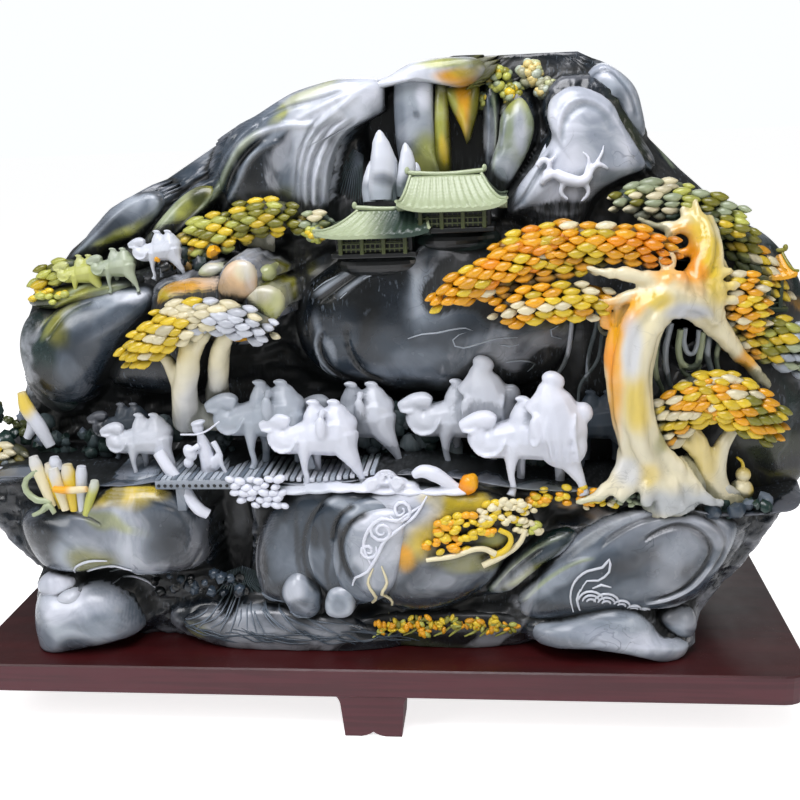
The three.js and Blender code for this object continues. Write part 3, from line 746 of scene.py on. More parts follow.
HIGH_ROCKS = rocks("""
* -341,266 -338,291 -328,311 -312,329 -291,344 -268,353 -241,358 -213,361 -196,355 -196,342 -215,326 -236,309 -250,290
-265,270 -282,249 -308,241 -330,248 | 52 44 | SLATE 9 | STEEL -232 331 32 21 -20 .9 | MIST -231 349 28 8 10 .9 | PINE
-316 301 21 47 0 .9 | JET -318 263 24 23 0 .9 | LIME -294 329 23 7 40 .5 | OLIVE -284 325 17 21 -20 .7 | STEEL -252
316 24 19 -30 .9 | SLATE -267 291 21 23 0 .9 | MIST -266 328 19 7 -30 .5 | STEEL -289 279 11 19 0 .8 | PEARL -221 352
23 5 -10 .7
* -266,277 -250,299 -232,318 -207,329 -177,325 -159,307 -158,277 -169,251 -196,243 -236,248 -262,256 | 36 30 | JET |
SLATE -242 298 15 24 0 .9 | DEEP -214 268 38 19 0 .9
* oval -312 286 38 50 0 | 42 40 | PINE | OLIVE -298 348 19 21 0 .5 | JET -326 298 17 24 0 .8
* -189,350 -184,360 -166,367 -135,371 -111,373 -93,367 -84,353 -84,330 -97,312 -117,307 -151,311 -178,321 -190,335 |
84 27 uneven=1 full=.5 carved=0 | AMBER 5 | LEMON -165 355 28 8 6 | AMBER -155 362 28 5 4 | PEACH -112 359 23 15 |
CREAM -104 368 13 8 0 .9 | OLIVE -89 338 9 11 0 .7
* -125,360 -120,375 -112,384 -101,387 -91,383 -87,371 -90,357 -102,348 -119,349 | 102 15 uneven=.9 full=.35 | PEACH 3
| CREAM -98 379 9 8 0 .9
* -101,358 -92,362 -77,362 -66,355 -65,342 -74,330 -87,324 -100,332 -104,345 | 98 18 uneven=.9 full=.35 | CREAM 3 |
LIME -92 339 17 11 0 .9 | OLIVE -89 328 17 6 0 .9 | LIME -71 344 8 15 0 .8
* -91,371 -87,378 -77,379 -73,372 -77,365 -87,364 | 92 12 uneven=.4 | LIME 3
* -148,372 -140,381 -125,381 -122,375 -132,368 | 86 14 uneven=.4 | LIME 3 | CREAM -133 377 9 4 0 .9
* -68,332 -51,356 -29,372 -4,385 23,393 51,400 80,402 111,400 138,390 161,374 183,354 201,337 205,308 198,280 180,259
146,246 98,243 51,245 3,252 -32,260 -58,279 -68,304 | 36 48 uneven=2 | DEEP 9 | JET -20 352 38 23 0 .9 | JET 56 376 32
28 0 .9 | SLATE -14 295 24 34 0 .9 | JET 8 313 11 38 0 .9 | SLATE 34 294 28 28 0 .9 | STEEL 66 341 19 56 | MIST 59 350
10 41 | PEARL 56 373 8 15 0 .7 | MIST 85 363 8 38 0 .9 | MIST 73 335 23 28 0 .7 | MIST 93 344 21 17 0 .8 | STEEL 33
272 32 9 0 .9 | MOSS 110 358 19 28 0 .8 | STEEL 106 325 23 11 0 .9 | JET 102 375 38 9 0 .9 | OLIVE 169 321 32 11 0 .9
| MOSS 147 339 38 24 0 .9 | SLATE 100 292 56 28 0 .9 | DEEP 165 291 28 28 0 .9 | STEEL 128 301 28 6 10 .9 | STEEL 52
284 24 11 0 .8 | MIST -33 300 5 24 10 .8
* oval 204 243 47 94 0 | 28 28 | JET | DEEP 213 273 28 47 0 .9 | MOSS 222 302 19 28 0 .5 | SLATE 204 283 9 38 0 .6
* oval 352 214 72 86 0 | 44 32 | JET | MOSS 370 198 28 19 0 .7 | OLIVE 354 158 38 13 0 .7 | CREAM 359 139 28 8 0 .7 |
PINE 386 237 28 28 0 .7
* oval 350 330 62 60 -30 | 24 26 | PINE | OLIVE 351 318 38 38 0 .5 | AMBER 387 326 19 9 0 .8 | JET 368 346 32 28 0 .8
* oval -270 352 58 14 8 | 40 40 | MOSS | OLIVE -276 357 28 13 0 .8 | CELADON -216 360 38 9 0 .9 | JET -184 381 28 9 0
.7 | MIST -244 375 28 9 0 .5
* -124,486 -113,501 -94,510 -68,524 -51,531 -20,538 4,539 23,535 24,520 21,507 0,498 -15,484 -23,465 -28,442 -32,420
-46,409 -69,408 -96,414 -116,424 -129,440 -132,464 | 34 24 uneven=.8 grow=1.03 carved=0 | SLATE 8 | STEEL -89 500 41
15 34 .9 | DEEP -91 473 32 28 0 .9 | JET -105 468 15 21 0 .8 | DEEP -64 480 24 19 0 .9 | MIST -39 461 13 38 0 .9 |
STEEL -60 452 15 28 0 .9 | MOSS -77 430 32 13 0 .9 | LIME -44 523 32 8 26 .8 | PEARL -10 522 32 13 20 .9 | SNOW 6 528
24 8 10 .9 | MIST -53 504 38 5 22 | PEARL -4 511 32 19 30 .9 | SNOW 10 523 17 9 0 .9 | PEARL -34 478 15 38 14 .9 |
SNOW -16 497 9 15 30 .8 | PEARL -46 443 13 34 0 .9 | LIME -55 421 11 11 0 .6 | MOSS -72 427 15 19 0 .7
* -301,377 -276,401 -245,430 -223,442 -207,446 -193,443 -191,433 -202,419 -218,403 -240,396 -258,387 -266,380 -285,375
| 32 18 uneven=.6 | STEEL 5 | MIST -228 430 32 8 38 .9 | SLATE -239 415 24 11 34 .9 | LIME -241 401 34 7 30 | PINE
-280 385 21 8 40 .9 | MIST -199 436 5 13 0 .8
* -228,387 -210,404 -191,424 -171,441 -154,449 -139,447 -143,434 -156,420 -174,407 -194,398 -212,389 | 36 16 uneven=.5
| OLIVE 4 | CELADON -184 423 8 28 -42 .9 | LIME -167 427 9 11 -30 .8 | MOSS -153 437 9 11 0 .9 | CELADON -206 399 15 6
30 .9
* -263,376 -241,391 -216,396 -198,394 -208,380 -227,367 -252,364 | 30 22 uneven=.5 | CELADON 4 | MIST -246 376 13 8 0
.9 | OLIVE -217 386 13 6 20 .6
* -4,529 15,537 32,541 45,548 59,553 87,555 110,554 121,547 119,539 109,531 97,528 77,532 59,535 40,534 14,523 | 30 16
uneven=.5 carved=0 | PEARL 3 | SNOW 41 539 28 7 0 .9 | LIME 86 549 24 4 0 .9 | AMBER 97 536 19 6 -8 | LEMON 104 541 13
4 0 .8 | OLIVE 117 549 9 5 0 .9
* 149,517 158,513 165,493 160,471 148,448 135,428 126,432 119,440 122,456 131,479 135,503 | 22 24 uneven=.4 carved=0 |
CELADON 3 | LIME 147 512 13 8 0 .9 | PEARL 152 489 6 24 0 .9 | MIST 132 448 15 21 0 .9
* 154,440 167,461 176,479 181,482 179,470 170,450 159,429 142,413 133,411 141,426 | 26 20 uneven=.4 carved=0 | MIST 3
| PEARL 172 468 6 13 0 .9
* 180,484 176,499 179,514 191,523 203,525 219,520 234,509 245,489 257,470 265,455 261,448 243,441 221,428 212,410
204,393 184,395 168,403 155,412 138,411 142,427 153,443 168,462 178,476 | 34 26 uneven=.8 | SNOW 5 | PEARL 197 513 19
8 0 .9 | MIST 223 482 19 26 0 .6 | STEEL 257 459 8 11 0 .6 | SNOW 180 453 15 28 -30 .9 | PEARL 170 422 38 15 0 .9 |
MIST 220 447 19 8 0 .8 | SNOW 193 434 24 13 0 .9
* 210,526 216,539 227,545 243,536 257,521 264,500 267,480 258,475 247,492 236,510 221,522 | 10 28 uneven=.6 | MIST 4 |
SNOW 226 536 15 6 0 .9 | PEARL 248 507 5 24 -20 .9 | SLATE 239 511 8 13 0 .7
""")

CAVE_PILLARS = rocks("""
* 38,543 56,546 71,543 72,501 74,464 79,453 73,440 50,441 40,456 35,493 | 20 18 uneven=.4 full=.4 carved=0 | MIST 3 |
SNOW 65 523 7 11 0 .9 | LIME 66 466 15 23 0 .9 | STEEL 41 493 6 38 0 .7 | SLATE 57 507 3 4 0 .8
* 74,532 80,536 85,530 86,482 86,453 81,440 71,440 70,474 | 8 26 uneven=.3 full=.4 carved=0 | OLIVE 2 | LIME 79 500 5
19 0 .9 | LEMON 80 473 4 15 0 .8
* 80,530 96,532 113,533 114,513 108,490 102,476 97,491 88,509 | 4 26 uneven=.3 full=.4 carved=0 | OLIVE 2 | AMBER 100
517 7 28 0 .9 | LIME 90 514 6 11 0 .9 | LEMON 99 500 4 13 0 .9
* 120,534 131,530 134,507 132,471 128,447 120,442 117,481 | 2 22 uneven=1.2 full=.4 carved=0 | JET 2 | PINE 127 507 5
28 0 .9 | STEEL 123 490 2 28 0 .6
""")

SHELL_EDGES = (
    spots("14,165 -24,170 -58,168 -83,154 -98,135 -108,113 -112,91 -111,69 -103,51 -71,47 -32,48 8,55 30,97 31,139"),
    spots("23,164 -12,170 -34,163 -49,146 -58,124 -62,101 -57,81 -48,66 -33,52 -1,50 25,68 34,109 34,144"),
    spots("29,162 7,166 -14,158 -27,142 -31,126 -34,101 -30,80 -20,61 5,55 27,70 39,111 38,142"),
    spots("37,156 11,157 -9,146 -19,127 -21,111 -17,94 -10,78 2,63 22,69 34,93 41,123 42,144"),
)

SHELL_PAINTS = (
    shades("SLATE 5 | JET -105 98 6 38 0 .9 | STEEL -77 98 17 28 0 .9 | MIST -63 165 38 7 0 .9 | STEEL -79 127 5 8 "
        "0 .9 | DEEP -88 66 19 11 0 .9 | STEEL -68 87 9 28 0 .9 | JET -64 110 3 38 0 .7"),
    shades("SLATE 5 | STEEL -41 104 13 23 0 .9 | MIST -19 161 28 6 0 .9 | DEEP -44 121 6 13 0 .9 | STEEL -50 79 13 "
        "11 0 .9 | MIST -54 100 4 28 0 .7 | JET -35 104 3 34 0 .7"),
    shades("STEEL 4 | MIST -4 158 23 6 0 .9 | DEEP -23 117 5 28 0 .9 | MIST -27 102 4 24 0 .6 | STEEL -19 70 11 11 "
        "0 .9"),
    shades("PEARL 4 | PEARL 9 124 19 28 0 .9 | SNOW 20 144 19 13 0 .9 | STEEL -8 88 9 15 0 .9 | MIST "
        "-14 114 5 23 0 .9 | STEEL 11 68 19 8 0 .9"),
)


def shell(step: int, paint: Paint) -> Rock:
    """One of the overlapping shells on the boulder under the caravan."""
    return boulder(
        SHELL_EDGES[step], SHELL_DEPTH + 7 * step, 27 - step, paint, uneven=0.5, lean=5, carved=False, full=0.42,
    )


def recess(z: np.ndarray) -> np.ndarray:
    """Depth of the rough face above the ledge, which leans back towards the summit."""
    return RECESS_DEPTH - 24 * smooth(340, SUMMIT_HEIGHT, z)


SCORES = strokes("""
* -121,464 -111,481 -87,496 -62,501 -34,501 -17,511 5,526 21,533 | 6 -3 PEARL .9
* -114,452 -107,465 -90,481 -67,489 | 5 -1.5 STEEL .7
* -54,506 -28,517 -5,527 18,535 | 5 -2 SNOW .8
* -88,506 -61,517 -31,523 -5,530 | 4 2 STEEL .7
* 22,506 1,498 -14,486 -22,471 -27,454 -26,434 | 7 4 STEEL .7 lip
* 6,505 -14,496 -25,480 -33,461 -39,423 | 6 4.5 SLATE .6 lip
* -4,507 -21,500 -34,482 -43,460 -47,418 | 6 4.5 SLATE .6 lip
* -14,508 -31,498 -44,479 -52,452 -56,414 | 6 3.5 STEEL .6 lip
* -24,512 -41,497 -52,474 -58,443 -62,414 | 5 2.5 STEEL .5 lip
* -31,470 -39,452 -44,421 | 4 -1.5 SNOW .8
* -22,485 -31,470 -36,450 | 4 -1.5 SNOW .8
* -82,501 -106,484 -122,465 -132,449 -149,429 -168,413 -191,394 | 6 -4.5 CELADON .8
* -82,493 -103,477 -117,460 -129,440 -146,421 -162,409 | 4 3.5 JET .8
* -83,486 -100,472 -111,454 -125,434 -141,416 | 4 -2.5 MIST .7
* -89,506 -111,489 -128,469 -140,453 | 4 -2.5 STEEL .8
* -110,499 -129,482 -147,464 -162,458 -185,451 | 5 -2 SLATE .7
* -222,441 -204,446 -193,438 -196,425 | 4 2 JET .8
* -293,381 -263,404 -236,426 -214,439 | 4 -1.5 MIST .7
* -36,314 -43,300 -41,283 -31,269 -14,259 | 7 5 JET .8 lip
* -38,318 -46,300 -43,281 -33,266 -16,255 | 3.4 -2 MIST 1
* -13,321 -14,299 -7,280 5,266 21,260 | 6 4 JET .8 lip
* -47,343 -20,361 1,374 24,384 | 5 -3.4 MIST 1
* -42,337 -16,355 5,368 30,378 | 4 3 JET .9
* -24,342 0,360 23,373 48,383 72,395 | 4 -3 MIST 1
* 37,396 57,405 81,408 111,405 135,397 154,382 | 4.5 -3.2 PEARL 1
* 41,389 60,398 82,402 111,399 131,392 | 4 3 JET .9
* -62,168 -83,155 -97,136 -106,114 -110,92 -109,68 | 5 2.5 JET .9 lip
* -31,163 -48,146 -57,125 -60,102 -56,82 -45,66 -30,57 | 5 1.5 JET .8 lip
* -4,160 -18,151 -27,137 -30,120 | 5 3 JET .9 lip
* 11,156 -8,145 -19,128 -21,112 -17,95 -10,79 | 6 3 JET .9 lip
* 217,109 227,122 252,138 282,145 306,144 324,134 333,119 328,99 313,81 | 5 3.5 DEEP .9 lip
* 253,119 275,132 291,136 307,131 319,116 316,100 305,84 289,71 263,62 | 6 5 JET .9 lip
* 325,99 308,77 287,65 260,57 | 4 -2.5 PEARL .8
* 168,86 186,105 208,125 229,138 257,148 287,152 316,147 339,135 | 5 -2 PEARL .7
* -156,128 -165,103 -180,86 | 4 2.5 JET .7 lip
* -205,165 -181,153 -172,130 -175,107 | 4 2 SLATE .8
* -297,152 -267,149 -248,142 | 3 2 DEEP .8
* -301,59 -284,66 -268,66 -250,56 | 3 -1 SNOW .8
* 184,475 186,496 194,510 208,514 224,508 238,492 249,473 | 4 -2 SNOW .9
* 189,470 191,493 200,504 212,507 224,500 235,482 | 5 2 MIST .7
* 157,420 177,412 199,411 217,419 | 5 -2 SNOW .7
* 180,470 166,448 153,427 140,416 | 4 2.5 STEEL .8
* 214,524 219,535 230,538 242,527 252,511 258,489 | 3 2.5 STEEL .8
* 237,544 257,524 268,501 278,474 299,441 | 4 -2.5 CELADON .8
* 250,540 266,514 278,483 304,445 | 3 2.5 JET .9
* 263,457 278,442 298,431 | 4 -2.5 STEEL .9
* 258,450 276,435 304,423 | 4 -2 MIST .7
* 122,525 123,490 120,448 | 3 -2 STEEL .8
* 127,525 130,489 126,448 | 3 -2 CELADON .6
* 134,516 138,498 133,471 | 3 -2 MIST .6
* -18,477 -22,449 -27,422 | 2.4 -1.6 STEEL .8
* -10,486 -14,452 -20,420 | 2.4 -1.6 MIST .7
* -2,489 -5,456 -11,420 | 2.4 -1.6 STEEL .8
* 5,485 3,452 -2,421 | 2.4 -1.6 MIST .6
* -292,347 -270,361 -239,368 -205,369 | 4 -2 CELADON .8
* -318,320 -294,343 -262,356 -232,361 | 4 -1.5 LIME .6
* -305,310 -281,337 -253,348 | 4 2 PINE .6
* 115,60 136,87 162,110 192,123 | 3 -1.5 CELADON .9
* 147,48 170,77 196,98 218,107 | 3 -1.5 CELADON .8
* 125,68 144,91 170,112 | 3 2 JET .8
""")


@dataclass(frozen=True)
class Block:
    """The rough block that everything is carved from: its outline, the caravan's ledge and a plain back."""

    left: tuple[tuple[float, float], ...] = spots("0,-331 22,-350 62,-350 86,-376 110,-398 140,-413 165,-414 "
        "182,-404 222,-384 256,-368 290,-349 360,-329 388,-305 430,-248 450,-206 488,-140 507,-104 521,-70 529,-40 "
        "533,-6 537,26 546,50 556,92")
    right: tuple[tuple[float, float], ...] = spots("0,300 26,333 52,350 86,372 140,400 180,416 210,420 290,419 "
        "310,413 338,398 364,375 386,359 404,346 430,320 446,302 476,272 500,260 526,248 542,234 556,206")
    back_domes: tuple[tuple[float, ...], ...] = spots("-190,130,210,140,68,42,0 170,150,210,170,62,48,14 "
        "20,380,250,130,36,44,-4")
    height: float = SUMMIT_HEIGHT
    ledge: float = LEDGE_HEIGHT
    ledge_depth: float = 126
    front_columns: int = 225
    back_columns: int = 70
    pitch: float = 3.3
    ledge_rows: int = 26
    paint: Paint = shades("DEEP | STEEL -250 400 60 40 30 .9 | JET -150 462 56 26 40 | SLATE -100 500 150 44 34 .9 "
        "| MIST 10 552 60 12 10 .8 | JET -124 256 90 50 | JET 130 472 30 60 | MOSS 260 510 30 60 0 .6 | OLIVE 368 "
        "363 30 20 0 .8 | PINE -359 238 40 30 0 .8 | OLIVE -330 216 24 12 0 .8 | AMBER 331 392 20 20 0 .6 | OLIVE "
        "122 525 20 30 0 .7 | LIME 112 508 8 30 0 .6 | JET -44 385 60 16 | OLIVE -65 366 24 20 0 .8 | PEARL -37 "
        "181 110 14 0 .9 | MIST -240 178 60 6 | STEEL -340 178 44 7 | STEEL 120 178 50 6 0 .7 | SNOW 31 171 60 14 "
        "0 .9 | JET 40 206 160 16 0 .8 | STEEL -116 182 90 16 0 .8 | DEEP 98 185 40 14 0 .8 | MOSS 173 160 60 14 0 "
        ".8 | AMBER 201 150 30 8 0 .8 | PEARL 220 150 30 6 0 .6 | STEEL -227 172 60 14 0 .8 | CREAM 257 144 20 8 0 "
        ".5")

    def rows(self) -> np.ndarray:
        """Heights and depths of the face's rows: up to the ledge, back along its top, and up to the summit."""
        low = np.arange(0, self.ledge - 3, self.pitch)
        low_depth = 94 + (self.ledge_depth - 98) * smooth(158, self.ledge, low)
        top = np.linspace(self.ledge - 3, self.ledge + 3, self.ledge_rows)
        top_depth = np.linspace(self.ledge_depth, RECESS_DEPTH, self.ledge_rows)
        high = np.linspace(self.ledge + 3 + self.pitch, self.height, int((self.height - self.ledge) / self.pitch))
        return np.c_[np.r_[low, top, high], np.r_[low_depth, top_depth, recess(high)]]

    def place_points(self, around: np.ndarray, level: np.ndarray) -> np.ndarray:
        """Places of the block's surface.

        Args:
            around: 0 to 1 over the face from left to right, and 1 to 2 over the back.
            level: the number of the row.

        Returns:
            One row of x, y and z for each point.
        """
        table = self.rows()
        height, face = table[level, 0], table[level, 1]
        front = around <= 1
        share = np.where(front, around, 2 - around)
        low = np.interp(height, *np.array(self.left).T)
        high = np.interp(height, *np.array(self.right).T)
        x = low + (high - low) * (0.5 - 0.5 * np.cos(np.pi * share))
        inset = np.clip(np.minimum(x - low, high - x) / (18 + 28 * height / self.height), 0, 1)
        crown = np.sqrt(np.maximum(0.08, 1 - smooth(470, self.height + 8, height) ** 2))
        taper = np.sqrt(np.clip(1 - (1 - inset) ** 2, 0, 1)) * crown
        back = (104 + (34 - 104) * smooth(60, self.height, height)) * taper
        for dome_x, dome_z, a, b, rim, lift, turn in self.back_domes:
            u, w = turned(x - dome_x, height - dome_z, turn)
            bulge = (rim + lift) * np.clip(1 - (u / a) ** 2 - (w / b) ** 2, 0, 1) ** 0.5
            back = np.logaddexp(back / 9, bulge / 9) * 9 * np.clip(taper * 3, 0, 1)
        rise = 5 * np.sin(x / 31) - 32 * smooth(90, 340, x)
        near = np.clip(1 - np.abs(height - self.ledge) / 130, 0, 1)
        places = np.c_[x, np.where(front, -face * taper, back), height + np.where(front, near * rise, 0)]
        depth = -places[:, 1]
        for number, rock in enumerate((*LOW_ROCKS, *HIGH_ROCKS)):
            skirt = rock.dome(places[:, 0], places[:, 2], number, 1.16) - 0.4 * rock.lift
            near = front & (skirt > depth - 30)
            melted = np.logaddexp(depth / 5, skirt / 5) * 5
            depth = np.where(near, np.minimum(melted, np.maximum(skirt, depth + 3)), depth)
        places[:, 1] = np.where(front, -depth, places[:, 1])
        crag = 1 - 2.4 * np.abs(ROUGH.at(places, (19, 19, 12), 4))
        flat = smooth(0, 8, np.abs(height - self.ledge))
        places[:, 1] -= np.where(front, crag * (0.5 + 1.7 * flat), -2.5 * crag) * taper
        places[:, 1] += score(places) * front * taper
        for hollow in HOLLOWS:
            places = np.where(front[:, None], hollow.carve(places), places)
        return places

    def build(self) -> Piece:
        """Models the block as a sheet that is wrapped round and closed."""
        levels = len(self.rows())
        columns = self.front_columns + self.back_columns
        bpy.ops.mesh.primitive_grid_add(x_subdivisions=columns, y_subdivisions=levels - 1, size=2)
        block = settled(bpy.context.object)
        flat = points(block)
        column = np.rint((flat[:, 0] + 1) / 2 * columns)
        level = np.rint((flat[:, 1] + 1) / 2 * (levels - 1)).astype(int)
        around = np.where(
            column <= self.front_columns,
            column / self.front_columns,
            1 + (column - self.front_columns) / self.back_columns,
        )
        around = np.where(around >= 2, 0, around)
        move_points(block, self.place_points(around, level))
        rounded(sealed(block))
        block.name = "rough_block"
        return painted(block, self.paint, SCORES)


class Boulders:
    """The rounded rocks of the face, in groups that each make one piece."""

    def build(self) -> list[Piece]:
        """Models every group."""
        numbered = [rock.build(number) for number, rock in enumerate((*LOW_ROCKS, *HIGH_ROCKS))]
        groups = {
            "lower_boulders": numbered[: len(LOW_ROCKS)],
            "upper_boulders": numbered[len(LOW_ROCKS) : len(LOW_ROCKS) + UPPER_ROCKS],
            "mountain_boulders": numbered[len(LOW_ROCKS) + UPPER_ROCKS :],
            "ledge_shells": [shell(step, paint).build(0) for step, paint in enumerate(SHELL_PAINTS)],
            "cave_pillars": [rock.build(number) for number, rock in enumerate(CAVE_PILLARS)],
        }
        return [joined(group, name) for name, group in groups.items()]


@dataclass(frozen=True)
class Camel:
    """One camel of the caravan: where it stands, its size, its stone's tone and whether it is ridden."""

    x: float
    depth: float
    foot: float
    size: float
    tone: Tone = Tone.SNOW
    rider: bool = False
    saddled: bool = True


CARAVAN = (
    Camel(-200, 98, 176, 0.78, Tone.PEARL, saddled=False),
    Camel(-232, 66, 184, 0.7, Tone.DEEP, saddled=False),
    Camel(-72, 96, 184, 1.06, Tone.MIST),
    Camel(-20, 110, 171, 1.02),
    Camel(11, 72, 175, 1.05, Tone.PEARL),
    Camel(114, 74, 173, 1.1, Tone.PEARL, rider=True),
    Camel(177, 110, 162, 1.14, Tone.SNOW, rider=True),
    Camel(236, 66, 174, 0.9, Tone.SLATE, saddled=False),
    Camel(-176, 74, 366, 0.56, Tone.PEARL, saddled=False),
    Camel(-222, 74, 354, 0.52, Tone.CELADON, saddled=False),
    Camel(-258, 70, 348, 0.52, Tone.LIME, saddled=False),
)


@dataclass(frozen=True)
class Caravan:
    """The camels, their riders and the walker, each figure melted into one skin."""

    voxel: float = 1.6
    stretch: float = 0.14
    trunk: tuple[Station, ...] = spots("-34,0,47,13 -26,0,47,18 -12,0,49,21 2,0,50,22 10,0,49,17 14,0,48,11")
    neck: tuple[Station, ...] = spots("-30,0,47,16 -42,-1,45,15 -52,-2,44.5,13.5 -58,-3,48.5,11 -60,-3,54,8.6")
    head: tuple[Station, ...] = spots("-46,-4,60,6.4 -52,-4,63.5,8 -60,-4,63,7.4 -68,-4,60.5,5.6 -74,-4,58,4")
    throat: tuple[Station, ...] = spots("-66,-9,47,1.1 -63,-12,41,1.3 -55,-15,36,1.4 -46,-17,37.5,1.4 "
        "-40,-18,43,1.3 -37,-18,52,1")
    near_legs: tuple[tuple[Station, ...], ...] = (
        spots("-31,-8,44,10 -32.5,-10,34,6.6 -33,-11,26,4.2 -33,-11,18,3 -31.5,-11,9,2.8 -32.5,-11,3,3.6 "
            "-33.5,-12,.6,4.8"),
        spots("3,-6,48,16 6,-9,38,12 11,-11,29,8 15,-11,21,5.6 19,-11,12,3.5 20.5,-11,6,3.3 21,-12,1,4.8"),
    )
    far_legs: tuple[tuple[Station, ...], ...] = (
        spots("-26,8,38,8 -25,9,22,4 -25,9,8,3.6 -26,9,1,4.6"), spots("3,8,38,9 5,9,22,4.6 5,9,8,3.6 5,9,1,4.6"),
    )

    def figure(self, stations: Sequence[Station], **settings: int) -> Piece:
        """A limb of a figure that stands on z = 0 and faces left, with stations of x, y, z and radius."""
        return limb([(x, -y, z, radius) for x, y, z, radius in stations], **settings)

    def camel_parts(self, saddled: bool) -> list[Piece]:
        """The overlapping parts of a camel, 100 mm from tail to muzzle."""
        parts = [self.figure(line) for line in (self.trunk, self.neck, self.head, self.throat)]
        parts += [self.figure(leg) for leg in (*self.near_legs, *self.far_legs)]
        parts.append(self.figure(spots("-73,-8,55.6,1.3 -66,-10.5,55,1.3 -60,-11,56,1")))
        parts.append(ball((-46, 9, 66.5), (3.2, 1.8, 1.8), -30, 10, 8))
        parts.append(ball((-59, 11, 64.5), (2, 1.2, 1.3), 0, 8, 6))
        parts.append(ball((-13, 0, 63), (7.5, 10, 10.5)))
        for x, width in ((-22, 13), (-3, 16)):
            parts.append(self.figure((
                (x, 0, 48, 0.8 * width), (x, 0, 58, width), (x, 0, 67, 0.88 * width), (x, 0, 73.4, 0.62 * width),
                (x, 0, 77, 5.6),
            )))
            parts.append(ball((x - 0.5, 2, 80), (6, 4.4, 2.6), -12))
            parts.append(ball((x - 5, 4, 81), (2.6, 2.4, 2), 30, 12, 8))
        if saddled:
            parts.append(ball((-13.5, 21, 60.5), (5.4, 4.2, 11.5)))
            parts.append(self.figure(((-13, -10, 73, 4), (-13.5, -18, 70, 2.6))))
        return parts

    def rider_parts(self) -> list[Piece]:
        """A cloaked rider bent over the camel, with a bundle behind and a cloth over the camel's side."""
        parts = [
            self.figure(spots("4,-4,46,20 3,-7,58,21 1,-8,70,18 -1,-9,80,14.5 -2.5,-9,88,10.5 -2,-9,94,7.5")),
            self.figure(spots("-6,-10,86,7 -12,-11,78,7 -17,-10,72,7")), ball((-0.5, 9, 97), (8.8, 7.2, 6.8), -36),
            ball((6, 14, 44), (17, 10, 19), 0), ball((20, 8, 70), (7, 8, 8.5), 10),
            self.figure(spots("-18,-21,56,1.8 -15,-24,48,2.2 -11,-24,52,1.8 -12,-23,60,1.6")),
        ]
        for fold in range(4):
            x = -4 + 6 * fold
            line = ((x + 1, -20, 78 - 2 * fold, 1.2), (x - 1, -25, 62, 1.5), (x + 1, -25, 44, 1.4), (x + 3, -22, 32, 1))
            parts.append(self.figure(line))
        return parts

    def walker_parts(self) -> list[Piece]:
        """A walker in a wide robe with a carrying pole and a flat hat."""
        return [
            self.figure(spots("3,0,2,15 2,0,26,13 -2,0,48,12 -5,0,64,8 -8,0,72,5")), ball((-9, 2, 82), (9, 8.4, 10)),
            ball((-8, 2, 91), (12, 10, 4.4), 12), ball((-22, 12, 46), (10, 7, 14), 24),
            ball((-26, 12, 30), (8, 6, 9), -14), ball((18, 8, 30), (8, 6, 18), -24),
            self.figure(spots("-6,-12,58,5 -18,-16,52,4.6 -28,-15,52,4")),
            self.figure(spots("14,-6,62,5 22,-8,46,4.4 26,-10,26,3.4 34,-12,6,3")),
            self.figure(spots("-34,-14,76,2 0,-14,78,2 30,-12,96,1.8")), ball((8, 4, 4), (16, 12, 5)),
            ball((-10, 6, 3), (10, 9, 5)),
        ]

    def set_down(self, model: Piece, camel: Camel, name: str) -> Piece:
        """Sets a figure at its place and size on the ledge, with its stone's colour and painted shade towards its feet
        and its back.

        Args:
            model: the figure, facing left on z = 0.
            camel: the place, size and tone.
            name: the new object's name.

        Returns:
            The figure as an object of its own.
        """
        take(model)
        bpy.ops.object.duplicate()
        piece = bpy.context.object
        piece.name = name
        places = points(piece)
        # Painted shade: the colour darkens towards STEEL at the feet and towards the back of the figure.
        shade = smooth(26, -4, places[:, 2])[:, None] * 0.35 + smooth(0, 18, places[:, 1])[:, None] * 0.25
        base = camel.tone.light
        mottle = smooth(0.1, 0.9, ROUGH.at(places + camel.x, 26, 3))[:, None]
        colours = base * (1 - shade) + Tone.STEEL.light * shade
        colours = colours * (1 - 0.16 * mottle) + Tone.MIST.light * 0.16 * mottle
        move_points(piece, places * camel.size + (camel.x, -camel.depth, camel.foot))
        tint(piece, colours)
        return piece

    def build(self) -> list[Piece]:
        """Models every figure of the caravan."""
        models = {}
        for kind, rider, saddled in (("plain", False, False), ("saddled", False, True), ("ridden", True, True)):
            parts = self.camel_parts(saddled) + (self.rider_parts() if rider else [])
            model = fused(parts, f"model_{kind}", self.voxel, 2, 0.55)
            if rider:
                places = points(model)
                places[:, 0] += self.stretch * np.clip(places[:, 0] + 10, 0, None)
                move_points(model, places)
            models[kind] = model
        made = []
        for number, camel in enumerate(CARAVAN):
            kind = "ridden" if camel.rider else "saddled" if camel.saddled else "plain"
            made.append(self.set_down(models[kind], camel, f"camel_{number + 1}"))
        walker = fused(self.walker_parts(), "model_walker", self.voxel, 2, 0.55)
        made.append(self.set_down(walker, Camel(-151, 110, 177, 0.62), "walker"))
        for model in (*models.values(), walker):
            bpy.data.objects.remove(model)
        return made


